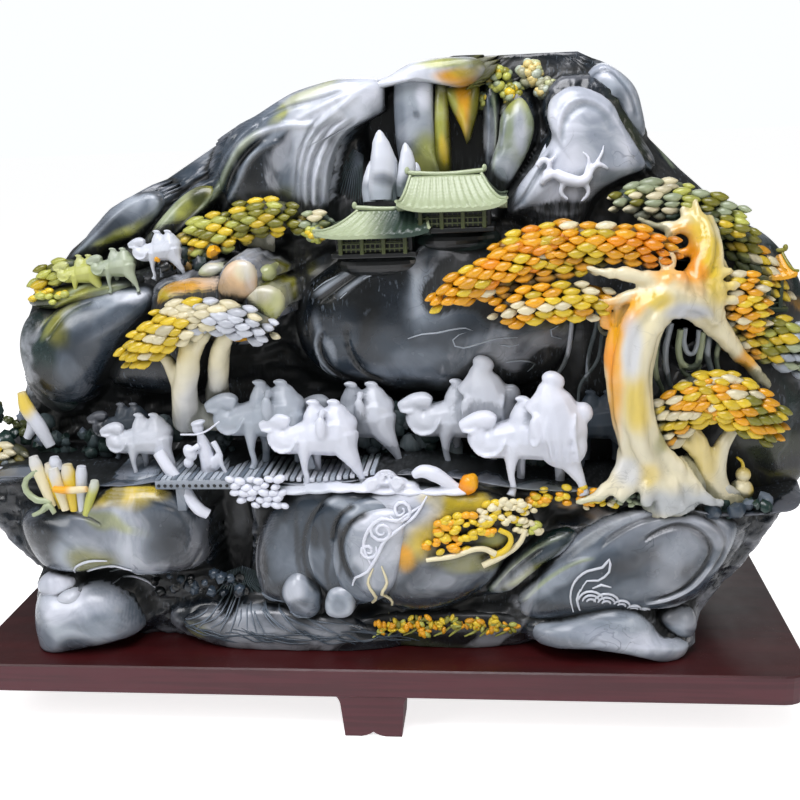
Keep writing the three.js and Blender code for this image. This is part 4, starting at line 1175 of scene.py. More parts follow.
@dataclass(frozen=True)
class Trunk:
    """A tree's trunks, limbs or roots, melted into one skin."""

    name: str
    lines: tuple[tuple[Station, ...], ...]
    paint: Paint
    voxel: float = 2.2
    grooves: float = 0.7
    rings: tuple[tuple, tuple[float, ...], tuple[float, ...]] = ((), (), ())
    ridged: float = 13

    @staticmethod
    def strands(line: Sequence[Station]) -> list[Piece]:
        """Ridges that wind along the front of a thick limb."""
        way = np.gradient(np.array(line)[:, (0, 2)], axis=0)
        way /= np.hypot(way[:, 0], way[:, 1])[:, None]
        made = []
        for number, start in enumerate((-80, -44, -12, 22, 54, 84)):
            ridge = []
            for step, (x, depth, z, radius) in enumerate(line):
                angle = math.radians(start + 11 * step * (-1) ** number)
                side, out = 0.74 * radius * math.sin(angle), 0.74 * radius * math.cos(angle)
                ridge.append((x - way[step, 1] * side, depth + out, z + way[step, 0] * side, 0.32 * radius))
            made.append(limb(ridge, 4, 8))
        return made

    def build(self) -> Piece:
        """Models the trunks, with winding ridges, long wavy grooves and ringed knot holes."""
        parts = []
        for line in self.lines:
            thick = min(radius for *_, radius in line) >= self.ridged
            slim = 0.84 if thick else 1
            parts.append(limb([(x, depth, z, slim * radius) for x, depth, z, radius in line], 5, 8))
            parts += self.strands(line) if thick else []
        for (x, z), depth, radius in zip(*self.rings):
            bpy.ops.mesh.primitive_torus_add(
                location=(x, -depth, z),
                rotation=(math.pi / 2, 0, 0),
                major_radius=radius,
                minor_radius=0.42 * radius,
                major_segments=24,
                minor_segments=10,
            )
            parts.append(settled(bpy.context.object))
        trunk = fused(parts, self.name, self.voxel, 3)
        places = points(trunk)
        grain = ROUGH.at(places, (5.5, 9, 60), 2)
        wave = ROUGH.at(places, (16, 16, 44), 2)
        move_points(trunk, places + normals(trunk) * (self.grooves * (grain + 1.6 * wave))[:, None])
        painted(trunk, self.paint)
        return trunk


TRUNKS = (
    Trunk(
        "pine_trunk", (
            spots("289,104,151,34 276,112,176,26 255,120,216,20 246,122,259,19 247,120,299,21 259,118,331,22 "
                "279,114,344,21 303,106,336,18 320,100,318,13"),
            spots("317,100,320,12 334,95,299,8 353,88,278,6 368,82,261,4 378,78,252,3"),
            spots("293,110,348,14 305,100,370,9 306,92,390,7 301,84,405,6 293,78,417,4"),
            spots("301,106,357,8 313,100,381,5 313,92,399,5 306,84,414,4 303,76,424,3"),
            spots("310,104,345,10 321,95,368,6 321,88,389,5 315,80,410,4"),
            spots("299,86,405,6 284,86,402,5 268,84,403,4 253,80,410,3"),
            spots("315,86,386,6 327,84,369,5 335,82,351,5 341,80,334,4"),
            spots("290,118,356,12 261,122,361,8 240,124,367,6 220,124,369,4 205,122,374,2"),
            spots("284,118,349,11 259,123,351,7 240,124,347,5 225,122,343,4 214,120,345,2"),
            spots("246,122,349,5 231,121,343,4 222,119,332,4 224,116,319,4"),
            spots("241,120,346,4 234,119,333,4 232,116,318,3"), spots("308,104,353,8 322,102,360,4 334,98,364,3"),
            spots("312,104,346,8 327,102,350,4 342,98,351,3"), spots("315,104,337,8 329,102,338,4 344,98,337,3"),
            spots("249,118,203,12 235,128,180,8 218,131,166,6 197,131,159,3"),
            spots("255,120,196,12 246,132,176,8 236,138,163,5"), spots("265,120,193,12 262,134,173,8 260,139,159,5"),
            spots("275,118,190,12 281,132,172,8 285,136,158,5"),
            spots("285,112,190,13 301,124,172,9 313,128,162,6 330,125,155,4"),
            spots("293,104,189,12 316,110,173,8 338,109,161,5 356,104,155,3"),
        ),
        shades("CREAM 7 | AMBER 233 285 8 56 | ORANGE 229 299 6 32 0 .8 | AMBER 245 328 9 28 -34 | LEMON 252 253 "
            "11 24 0 .8 | PEARL 249 299 8 28 0 .8 | LEMON 270 343 11 9 0 .8 | PEARL 292 332 17 8 0 .9 | OLIVE 277 "
            "219 8 13 0 .6 | AMBER 299 375 17 24 0 .9 | ORANGE 296 375 8 13 0 .8 | LEMON 312 380 8 28 0 .9 | AMBER "
            "292 398 13 9 0 .8 | LEMON 306 402 9 19 0 .7 | ORANGE 298 363 11 8 0 .7 | AMBER 273 362 13 6 0 .8 | "
            "CREAM 249 358 23 8 0 .9 | AMBER 350 281 19 11 40 .9 | LEMON 322 351 15 17 0 .7 | LEMON 264 187 13 11 "
            "0 .7 | PEARL 244 187 15 13 0 .7 | MIST 299 161 56 13 0 .8 | CELADON 229 158 32 8 0 .6 | AMBER 226 330 "
            "8 13 0 .8"), rings=(spots("275,377 290,389 318,345"), (118, 92, 104), (6, 11, 8)), grooves=1.0,
    ),
    Trunk(
        "right_fan_trunk", (
            spots("334,104,148,14 322,108,170,11 310,110,206,9 300,110,226,6"),
            spots("330,106,152,12 326,106,184,9 336,106,214,6 352,104,232,4"),
            spots("312,110,196,7 292,112,214,5 276,110,226,3"), spots("336,106,156,10 348,104,150,8 352,100,146,5"),
        ),
        shades("CREAM | LEMON 312 200 16 30 0 .5"), 1.9,
    ),
    Trunk(
        "left_fan_trunk", (
            spots("-172,84,226,17 -170,100,256,13 -160,112,290,11 -160,114,318,8 -182,114,330,5"),
            spots("-146,70,240,13 -138,92,272,10 -124,110,312,8 -112,114,328,5"),
            spots("-160,112,292,9 -142,114,318,6 -130,114,328,4"),
            spots("-170,96,250,10 -180,106,290,7 -196,112,312,4"),
            spots("-158,84,232,15 -140,90,226,9 -126,92,226,5"),
        ),
        shades("CREAM | PEARL -150 250 30 36 0 .7 | LEMON -186 318 30 16 0 .7 | STEEL -176 226 26 18 0 .6"), 2.0,
    ),
    Trunk(
        "upper_tree_trunk", (
            spots("-96,30,374,12 -100,48,392,9 -110,58,406,6 -128,62,414,4"),
            spots("-96,34,378,9 -88,52,398,7 -80,60,412,4"), spots("-98,40,382,8 -98,58,402,5 -98,62,414,4"),
        ),
        shades("PEARL | CREAM -98 400 30 20 0 .6"), 1.8,
    ),
)


@dataclass(frozen=True)
class LeafPad:
    """A lens-shaped pad of overlapping leaf scales, with the sizes of the solids' pads.

    tones are mixed from leaf to leaf, and far tones take over towards the pad's right end.
    """

    x: float
    z: float
    a: float
    b: float
    turn: float
    depth: float
    dome: float
    tones: tuple[Tone, ...]
    far: tuple[Tone, ...] = ()
    wide: float = 8.2
    high: float = 4.1

    def copies(self, rng: np.random.Generator) -> list[Copy]:
        """Where the pad's leaves go: staggered rows whose lower edges stand out."""
        made = []
        rows = max(2, round(2.2 * self.b / (1.5 * self.high)))
        for row in range(rows):
            w = 1 - (2 * row + 1) / rows
            half = self.a * (1 - abs(w) ** 2.6) ** 0.5
            count = max(1, round(2 * half / (1.9 * self.wide)))
            for number in range(count + row % 2):
                u = -half + 2 * half * (number + (0.5 if row % 2 == 0 else 0)) / count
                share = u / self.a
                sag = self.b * 0.34 * (0.5 - share * share) * (1 - 0.3 * w)
                swell = self.dome * math.sqrt(max(0.05, 1 - min(1, share * share)))
                swell *= math.sqrt(max(0.1, 1 - 0.8 * w * w))
                x, z = turned(u, self.b * w + sag - self.b * 0.1, self.turn)
                jitter = rng.normal(0, 1, 5)
                mix = self.far if self.far and share + 0.16 * jitter[0] > 0.1 else self.tones
                tone = mix[rng.integers(len(mix))].light * (1 + 0.10 * jitter[1])
                made.append(
                    Copy(
                        (self.x + x + 0.7 * jitter[2], self.depth + swell + 1.2 * row / rows, self.z + z),
                        self.wide * (1 + 0.09 * jitter[3]) * (1 - 0.22 * abs(share) ** 3),
                        self.turn * 0.6 - 12 * share + 4 * jitter[4],
                        18 - 22 * w,
                        -30 * share,
                        np.clip(tone, 0, 1),
                    )
                )
        return made


GOLD = hues("AMBER ORANGE AMBER AMBER LEMON")
SUN = hues("LEMON AMBER LEMON AMBER CREAM")
STRAW = hues("CREAM LEMON CREAM")
HAZE = hues("CELADON CREAM LIME CELADON OLIVE")
REED = hues("OLIVE LEMON LIME")

PADS = {
    "pine_leaves_left": (
        LeafPad(128, 372, 66, 14, 24, 108, 15, GOLD, GOLD),
        LeafPad(118, 352, 30, 8, 10, 106, 9, hues("AMBER LEMON CREAM")),
        LeafPad(168, 396, 44, 14, 10, 104, 14, GOLD, GOLD),
        LeafPad(222, 392, 64, 18, -4, 107, 17, hues("AMBER CREAM LEMON AMBER"), hues("ORANGE AMBER ORANGE")),
        LeafPad(178, 372, 50, 12, 10, 104, 12, GOLD, SUN),
        LeafPad(178, 342, 54, 18, 4, 110, 17, hues("AMBER LEMON AMBER CREAM"), SUN),
    ),
    "pine_leaves_right": (
        LeafPad(292, 418, 60, 15, -8, 60, 15, HAZE, hues("OLIVE LIME CELADON")),
        LeafPad(268, 430, 34, 10, 6, 52, 12, HAZE),
        LeafPad(316, 404, 44, 8, -12, 66, 10, hues("MOSS OLIVE CELADON"), REED),
        LeafPad(361, 366, 54, 14, -46, 42, 14, REED, SUN), LeafPad(346, 334, 24, 27, 0, 84, 14, SUN, SUN, 7.2, 3.8),
        LeafPad(386, 292, 34, 24, -24, 70, 15, REED, hues("CELADON MIST")),
        LeafPad(352, 300, 20, 16, -20, 76, 12, SUN, SUN, 7.2, 3.8),
    ),
    "right_fan_leaves": (
        LeafPad(292, 240, 38, 23, 36, 108, 16, hues("CREAM LEMON CREAM AMBER"), SUN),
        LeafPad(340, 244, 48, 24, -24, 106, 18, SUN, hues("LEMON OLIVE AMBER")),
        LeafPad(322, 262, 30, 14, 0, 104, 12, STRAW, SUN),
    ),
    "left_fan_leaves": (
        LeafPad(-178, 320, 48, 17, 26, 112, 17, hues("LEMON CREAM LEMON"), STRAW),
        LeafPad(-114, 334, 44, 17, -12, 114, 15, hues("CREAM PEARL"), hues("CREAM PEARL PEARL")),
        LeafPad(-146, 340, 40, 13, 2, 110, 14, STRAW, hues("CREAM PEARL")),
    ),
    "upper_tree_leaves": (
        LeafPad(-140, 404, 32, 20, 16, 58, 15, REED, hues("LIME LEMON")),
        LeafPad(-92, 418, 38, 19, 6, 56, 17, hues("LEMON OLIVE LIME"), REED),
        LeafPad(-40, 412, 16, 12, 0, 58, 10, HAZE, HAZE, 7, 3.6),
    ),
    "edge_bush_leaves": (
        LeafPad(-378, 190, 30, 16, -8, 72, 15, hues("LEMON CREAM OLIVE"), STRAW),
        LeafPad(-300, 372, 26, 12, 20, 58, 10, hues("LIME OLIVE LEMON")),
    ),
}


class Foliage:
    """Every pad of leaf scales: one leaf is modelled and copied for each pad."""

    def leaf(self) -> Piece:
        """A lens-shaped leaf with a pointed right and left end, about 2 wide, 1.1 high and 0.8 thick."""
        bpy.ops.mesh.primitive_uv_sphere_add(segments=10, ring_count=6)
        leaf = bpy.context.object
        shape = points(leaf)
        point = 1 - 0.45 * np.abs(shape[:, 0]) ** 1.5
        shape = shape * np.c_[np.full(len(shape), 1.12), 0.6 * point, 0.54 * point]
        shape[:, 2] += 0.10 * shape[:, 0] ** 2
        move_points(leaf, shape)
        return rounded(leaf)

    def build(self) -> list[Piece]:
        """Models each tree's leaves over dark beds, painted shade for the gaps between them."""
        made = []
        for number, (name, pads) in enumerate(PADS.items()):
            rng = np.random.default_rng(40 + number)
            copies = [copy for pad in pads for copy in pad.copies(rng)]
            # The leaves get painted shade towards their upper sides.
            leaves = stamped(self.leaf(), copies, name, 0.35)
            shade_beds = []
            for pad in pads:
                # Painted shade: a bed behind each pad, in the pad's first tone at 0.3 of its brightness, stands for the
                # shade between the leaves.
                shade_bed = ball((pad.x, pad.depth - 2, pad.z), (0.94 * pad.a, pad.dome * 0.8, 0.86 * pad.b), pad.turn)
                tint(shade_bed, np.tile(0.3 * pad.tones[0].light, (len(shade_bed.data.vertices), 1)))
                shade_beds.append(shade_bed)
            piece = joined([leaves, *shade_beds], name)
            made.append(rounded(piece))
        return made


@dataclass(frozen=True)
class Pavilion:
    """A tiled hall: the middle and floor of the hall, its width, depth and wall, and its roof's sizes."""

    x: float
    depth: float
    floor: float
    wide: float
    deep: float
    wall: float
    overhang: float
    rise: float
    ridge: float
    roof_tone: Tone = Tone.CELADON
    dark_tone: Tone = Tone.CELADON
    wall_tone: Tone = Tone.JET
    ribs: int = 13
    shift: float = 0

    @property
    def half_x(self) -> float:
        """Half the roof's width."""
        return self.wide / 2 + self.overhang

    @property
    def half_y(self) -> float:
        """Half the roof's depth."""
        return self.deep / 2 + self.overhang

    def slope_height(self, share: np.ndarray) -> np.ndarray:
        """Height of the hollow slope above the floor, from 0 at the ridge to 1 at the eaves."""
        return self.floor + self.wall + self.rise * (1 - share) ** 1.7

    def reach(self, share: np.ndarray | float) -> tuple[np.ndarray | float, np.ndarray | float]:
        """Half the roof's width and depth at a share of the slope."""
        half = self.ridge / 2
        return half + (self.half_x - half) * share**0.9, self.half_y * (0.08 + 0.92 * share**0.9)

    def roof(self) -> Piece:
        """The hollow slopes with tile ribs and courses, closed underneath."""
        columns, rows = 288, 38
        bpy.ops.mesh.primitive_grid_add(x_subdivisions=columns, y_subdivisions=rows, size=2)
        roof = settled(bpy.context.object)
        flat = points(roof)
        around = np.rint((flat[:, 0] + 1) / 2 * columns) % columns / columns * 8
        level = np.rint((1 - flat[:, 1]) / 2 * rows)
        share = np.clip(level / (rows - 2), 0, 1)
        side = (around // 2).astype(int)
        along = around % 2 - 1
        across = np.select([side == 0, side == 1, side == 2], [along, np.ones(len(along)), -along], -1.0)
        away = np.select([side == 0, side == 1, side == 2], [-np.ones(len(along)), along, np.ones(len(along))], -along)
        half_x, half_y = self.reach(share)
        count = np.where(side % 2 == 0, self.ribs, self.ribs * self.deep / self.wide)
        tile = np.abs(np.sin(np.pi * count * (along + 1) / 2)) * 1.3 + 0.8 * ((share * 12) % 1)
        corner = np.abs(across * away) ** 5 * share**2 * EAVES_CURL * self.rise
        under = level > rows - 2
        height = self.slope_height(share) + corner + np.where(under, -2.6, tile * smooth(0, 0.06, share))
        inset = np.where(level == rows, 0.86, 1.0)
        middle = self.x + self.shift * (1 - share)
        places = np.c_[middle + across * half_x * inset, -self.depth + away * half_y * inset, height]
        move_points(roof, places)
        sealed(roof)
        bpy.ops.object.shade_smooth_by_angle(angle=math.radians(40))
        eaves = self.floor + self.wall
        dark = Patch(self.dark_tone, self.x + 0.72 * self.half_x, eaves + 12, 0.66 * self.half_x, 40, 0, 0.95)
        return painted(roof, Paint(self.roof_tone, (dark,), drift=4))

    def beams(self) -> list[Piece]:
        """The ridge and the four hips, with curled ends."""
        top = self.slope_height(np.array(0.0)).item() + 1.5
        half = self.ridge / 2
        x = self.x + self.shift
        lines = [
            (
                (x - half - 2, self.depth, top + 2, 2.2), (x, self.depth, top, 2),
                (x + half + 2, self.depth, top + 2, 2.2),
            ),
        ]
        for side in (-1, 1):
            for face in (-1, 1):
                line = []
                for share in (0.0, 0.35, 0.7, 1.0):
                    lift = self.slope_height(np.array(share)).item() + EAVES_CURL * self.rise * share**2 + 1
                    reach, out = self.reach(share)
                    line.append((self.x + self.shift * (1 - share) + side * reach, self.depth + face * out, lift, 1.5))
                lines.append(tuple(line))
        beams = [limb(line, 2, 4) for line in lines]
        for side in (-1, 1):
            beams.append(ball((x + side * (half + 3), self.depth, top + 4), (2.4, 2.4, 3.4), 0, 10, 8))
        for beam in beams:
            painted(beam, Paint(self.roof_tone, (), drift=4))
        return beams

    def hall(self) -> list[Piece]:
        """Walls, plinth on its rock, posts, lattice and railing."""
        front = self.depth + self.deep / 2
        wall = slab((self.x, self.depth, self.floor + self.wall / 2), (self.wide, self.deep, self.wall + 4))
        plinth = slab((self.x, self.depth, self.floor - 3), (self.wide + 8, self.deep + 10, 5), 1)
        base = ball((self.x + 2, self.depth - 10, self.floor - 14), (0.6 * self.wide, 0.6 * self.deep, 14))
        dark = [painted(part, Paint(self.wall_tone, (), drift=4)) for part in (wall, plinth, base)]
        bars = []
        post_depth = self.depth + 0.74 * self.half_y
        for share in (-0.42, -0.14, 0.14, 0.42):
            x = self.x + share * self.wide
            bars.append(slab((x, post_depth, self.floor + self.wall / 2), (3.6, 3.6, self.wall + 3), 0.6))
        for height in (3.4, 8.2):
            bars.append(slab((self.x, post_depth, self.floor + height), (self.wide * 0.92, 1.8, 1.2), 0.3))
        count = int(self.wide / 5)
        for number in range(count):
            x = self.x + self.wide * 0.88 * ((number + 0.5) / count - 0.5)
            bars.append(slab((x, post_depth, self.floor + 4.5), (1.1, 1.1, 8), 0.2))
            bars.append(slab((x, front + 0.6, self.floor + 0.7 * self.wall), (0.9, 1.2, 0.42 * self.wall), 0.2))
        for height in (0.56, 0.74, 0.92):
            bars.append(slab((self.x, front + 0.7, self.floor + height * self.wall), (self.wide * 0.86, 1.1, 0.9), 0.2))
        pale = [painted(bar, shades("MOSS 4")) for bar in bars]
        return dark + pale

    def build(self, name: str) -> Piece:
        """Models the pavilion."""
        return joined([self.roof(), *self.beams(), *self.hall()], name)


PAVILIONS = {
    "pavilion_right": Pavilion(90, 68, 408, 68, 34, 17, 15, 27, 64, shift=-6),
    "pavilion_left": Pavilion(18, 74, 388, 70, 30, 16, 17, 19, 62, Tone.CELADON, Tone.PINE, Tone.JET, 13, 16),
    "pavilion_far": Pavilion(371, 37, 322, 40, 30, 28, 9, 18, 40, Tone.OLIVE, Tone.AMBER, Tone.MOSS, 9),
}


class Summit:
    """Free pinnacles before the cave and cauliflower bushes on the summit."""

    pinnacles: tuple[tuple[float, ...], ...] = spots("25,62,432,62,13 14,60,430,38,8 33,60,430,44,8 47,62,434,48,9 "
        "55,60,434,30,7")
    bushes: tuple[tuple[float, ...], ...] = spots("132,12,534,13 146,16,520,12 161,12,538,13 176,16,524,12 "
        "120,12,516,9 -38,64,404,11")

    def pinnacle(self, x: float, depth: float, foot: float, height: float, half: float) -> Piece:
        """A tall pointed stone with flat flanks."""
        line = spots("0,.9 .3,1 .6,.9 .82,.62 .95,.3 1,.08")
        stone = limb([(x + 0.5 * share, depth - 4 * share, foot + share * height, wide * half) for share, wide in line])
        places = points(stone)
        places[:, 1] = -depth + (places[:, 1] + depth) * 0.8
        places[:, 0] += 1.2 * np.sin(places[:, 2] / 9)
        move_points(stone, places)
        rounded(stone)
        dark = Patch(Tone.SLATE, x + 2, foot + 0.3 * height, 9, 7, -20, 0.8)
        return painted(stone, Paint(Tone.PEARL, (dark, Patch(Tone.MIST, x, foot, 12, 14)), drift=4))

    def bush(self, rng: np.random.Generator, x: float, depth: float, z: float, radius: float) -> list[Copy]:
        """Small lumps that make up one round bush."""
        made = []
        for _ in range(26):
            way = rng.normal(size=3)
            way /= np.linalg.norm(way)
            way[1] = abs(way[1])
            place = (x + 0.72 * radius * way[0], depth + 0.72 * radius * way[1], z + 0.72 * radius * way[2])
            tone = hues("OLIVE LIME CELADON LEMON")[rng.integers(4)]
            share = 0.3 if x > 150 else 0.0
            light = tone.light * (1 - share) + Tone.PEARL.light * share
            made.append(Copy(place, radius * rng.uniform(0.3, 0.46), rng.uniform(-40, 40), 0, 0, light))
        return made

    def build(self) -> list[Piece]:
        """Models the summit's free pieces."""
        stones = joined([self.pinnacle(*row) for row in self.pinnacles], "cave_pinnacles")
        rng = np.random.default_rng(77)
        lump = ball((0, 0, 0), (1, 1, 0.8), 0, 10, 7)
        copies = [copy for row in self.bushes for copy in self.bush(rng, *row)]
        bushes = stamped(lump, copies, "summit_bushes")
        rounded(bushes)
        return [stones, bushes]


def ground(x: np.ndarray, z: np.ndarray) -> np.ndarray:
    """Depth of the carved rocks' surface at places on the face, where lines and small relief are laid."""
    depth = np.where(z < LEDGE_HEIGHT, FACE_DEPTH, recess(z))
    for hollow in HOLLOWS[1:]:
        depth = -hollow.carve(np.c_[x, -depth, z])[:, 1]
    for number, rock in enumerate((*LOW_ROCKS, *HIGH_ROCKS)):
        depth = np.maximum(depth, rock.dome(x, z, number))
    for step, paint in enumerate(SHELL_PAINTS):
        depth = np.maximum(depth, shell(step, paint).dome(x, z, 0))
    return depth


def trace(line: Sequence[tuple[float, float]], radius: float, lift: float = 0.8, ends: float = 0.3) -> Piece:
    """A thin raised line that follows the rocks.

    Args:
        line: places as x and z that it passes smoothly through.
        radius: its half thickness in the middle.
        lift: how far its middle stands above the rock.
        ends: its half thickness at the ends, as a share.

    Returns:
        The line.
    """
    way = curve(line, 5)
    step = np.r_[0, np.cumsum(np.hypot(*np.diff(way, axis=0).T))]
    depth = ground(way[:, 0], way[:, 1]) + lift
    share = step / step[-1]
    thick = radius * (ends + (1 - ends) * np.sin(np.pi * np.clip(share, 0.02, 0.98)) ** 0.5)
    return limb([tuple(row) for row in np.c_[way[:, 0], depth, way[:, 1], thick]], 1, 1)


def scroll(x: float, z: float, radius: float, turns: float = 1.6, start: float = 0, hand: int = 1) -> list[tuple]:
    """Places of a spiral on the face, from its rim inwards."""
    count = int(9 * turns) + 2
    made = []
    for number in range(count):
        share = number / (count - 1)
        angle = math.radians(start) + hand * 2 * math.pi * turns * share
        reach = radius * (1 - 0.82 * share)
        made.append((x + reach * math.cos(angle), z + reach * math.sin(angle)))
    return made


@dataclass(frozen=True)
class Lines:
    """Raised lines of one tone that are cut on the rocks."""

    name: str
    tone: Tone
    radius: float
    paths: tuple[tuple[tuple[float, float], ...], ...]
    lift: float = 0.9
    fade: Optional[Tone] = None

    def build(self) -> Piece:
        """Models the lines."""
        made = []
        for path in self.paths:
            line = trace(path, self.radius, self.lift)
            patch = () if self.fade is None else (Patch(self.fade, *path[-1], 30, 30, 0, 0.8),)
            made.append(painted(line, Paint(self.tone, patch, drift=3)))
        piece = joined(made, self.name)
        return rounded(piece)


def arcs(x: float, z: float, rims: Sequence[float], start: float, end: float) -> tuple:
    """Nested arcs round a place, from one angle to another in degrees."""
    made = []
    for rim in rims:
        turn = np.radians(np.linspace(start, end, 9))
        made.append(tuple(zip(x + rim * np.cos(turn), z + rim * np.sin(turn))))
    return tuple(made)


RELIEF_LINES = (
    Lines(
        "water_swirls", Tone.MIST, 0.9, (
            spots("45,305 58,309 72,310 87,313 99,314 107,311"),
            spots("100,310 93,308 87,303 89,297 97,295 109,298 128,303 147,303"), spots("130,297 139,295 148,296"),
            spots("185,311 178,308 179,302 188,298"), spots("136,279 150,280 163,276 156,268"),
        ),
    ),
    Lines(
        "cave_hatching", Tone.STEEL, 0.8,
        tuple(
            ((0.7 * n - 6, 477 - 0.5 * n), (1.6 * n - 18, 459 - 0.9 * n), (2.5 * n - 28, 440 - 1.3 * n))
            for n in range(13)
        ),
        2.2,
    ),
    Lines(
        "boulder_contours", Tone.MIST, 0.9, (
            spots("-45,349 -32,358 -9,368 8,378 24,385"), spots("38,397 50,402 64,406 88,408 114,406 129,398"),
            spots("-18,343 1,359 24,369 43,380 59,386 72,396"), spots("-44,286 -42,271 -31,261 -16,252 3,244"),
        ),
    ),
    Lines(
        "cloud_relief", Tone.SNOW, 1.9, (
            spots("62,168 50,150 34,138 22,128 14,112 4,96 -8,88 -12,78"),
            spots("56,160 36,148 20,150 8,140 2,122 8,104"), tuple(scroll(20, 138, 12, 1.7, 90)),
            tuple(scroll(6, 118, 9, 1.5, 30, -1)), tuple(scroll(38, 156, 11, 1.6, 200)),
        ), 0.2,
    ),
    Lines(
        "curling_stems", Tone.CREAM, 1.6,
        (spots("10,100 4,84 10,66 4,52 14,40 20,28"), spots("18,102 22,84 16,70 24,56 20,44")),
    ),
    Lines(
        "feather_relief", Tone.PEARL, 1.4, (
            spots("-286,80 -268,92 -246,96 -228,92"), spots("-280,76 -258,86 -236,84 -218,76"),
            spots("-272,70 -250,76 -232,72 -216,62"), spots("-262,64 -246,66 -230,60 -220,50"),
            spots("-292,84 -284,96 -268,104 -250,104"),
        ),
    ),
    Lines(
        "foam_arcs", Tone.PEARL, 1.3, (
            *arcs(212, 62, (4, 8, 12), 10, 170), *arcs(226, 60, (4, 8, 12), 0, 165), *arcs(240, 56, (4, 8), -5, 150),
            *arcs(252, 50, (4, 7), -10, 150), *arcs(262, 46, (3, 6), -10, 140),
            spots("196,50 193,67 197,82 208,93 222,98 228,106 228,94 218,85 208,84 202,73"),
            spots("202,52 199,65 202,75"), spots("213,77 221,81 230,79"),
        ),
    ),
    Lines(
        "garland_leaves", Tone.OLIVE, 1.5,
        tuple((((2 + 15 * n, 14), (10 + 15 * n, 18 + n % 2 * 3), (22 + 15 * n, 27)) for n in range(9))),
        fade=Tone.LIME,
    ),
    Lines(
        "gorge_water", Tone.STEEL, 0.9,
        tuple(
            (
                (-146 + 1.6 * n, 78 - abs(n - 10) * 0.6), (-146 + 2.2 * (n - 2), 58),
                (-150 + 5.4 * (n - 4), 40 - n % 3 * 3), (-160 + 9.5 * (n - 5), 26 - n % 4 * 3),
            )
            for n in range(22)
        ),
    ),
    Lines(
        "pool_water", Tone.SLATE, 0.9,
        tuple(
            (
                (-200 + 9 * n, 20 + 5 * math.sin(n)), (-186 + 9 * n, 17 + 4 * math.sin(n + 1)),
                (-168 + 9 * n, 14 + 5 * math.sin(1.7 * n)), (-150 + 9 * n, 12 + 4 * math.sin(n + 2)),
            )
            for n in range(24)
        ),
    ),
)


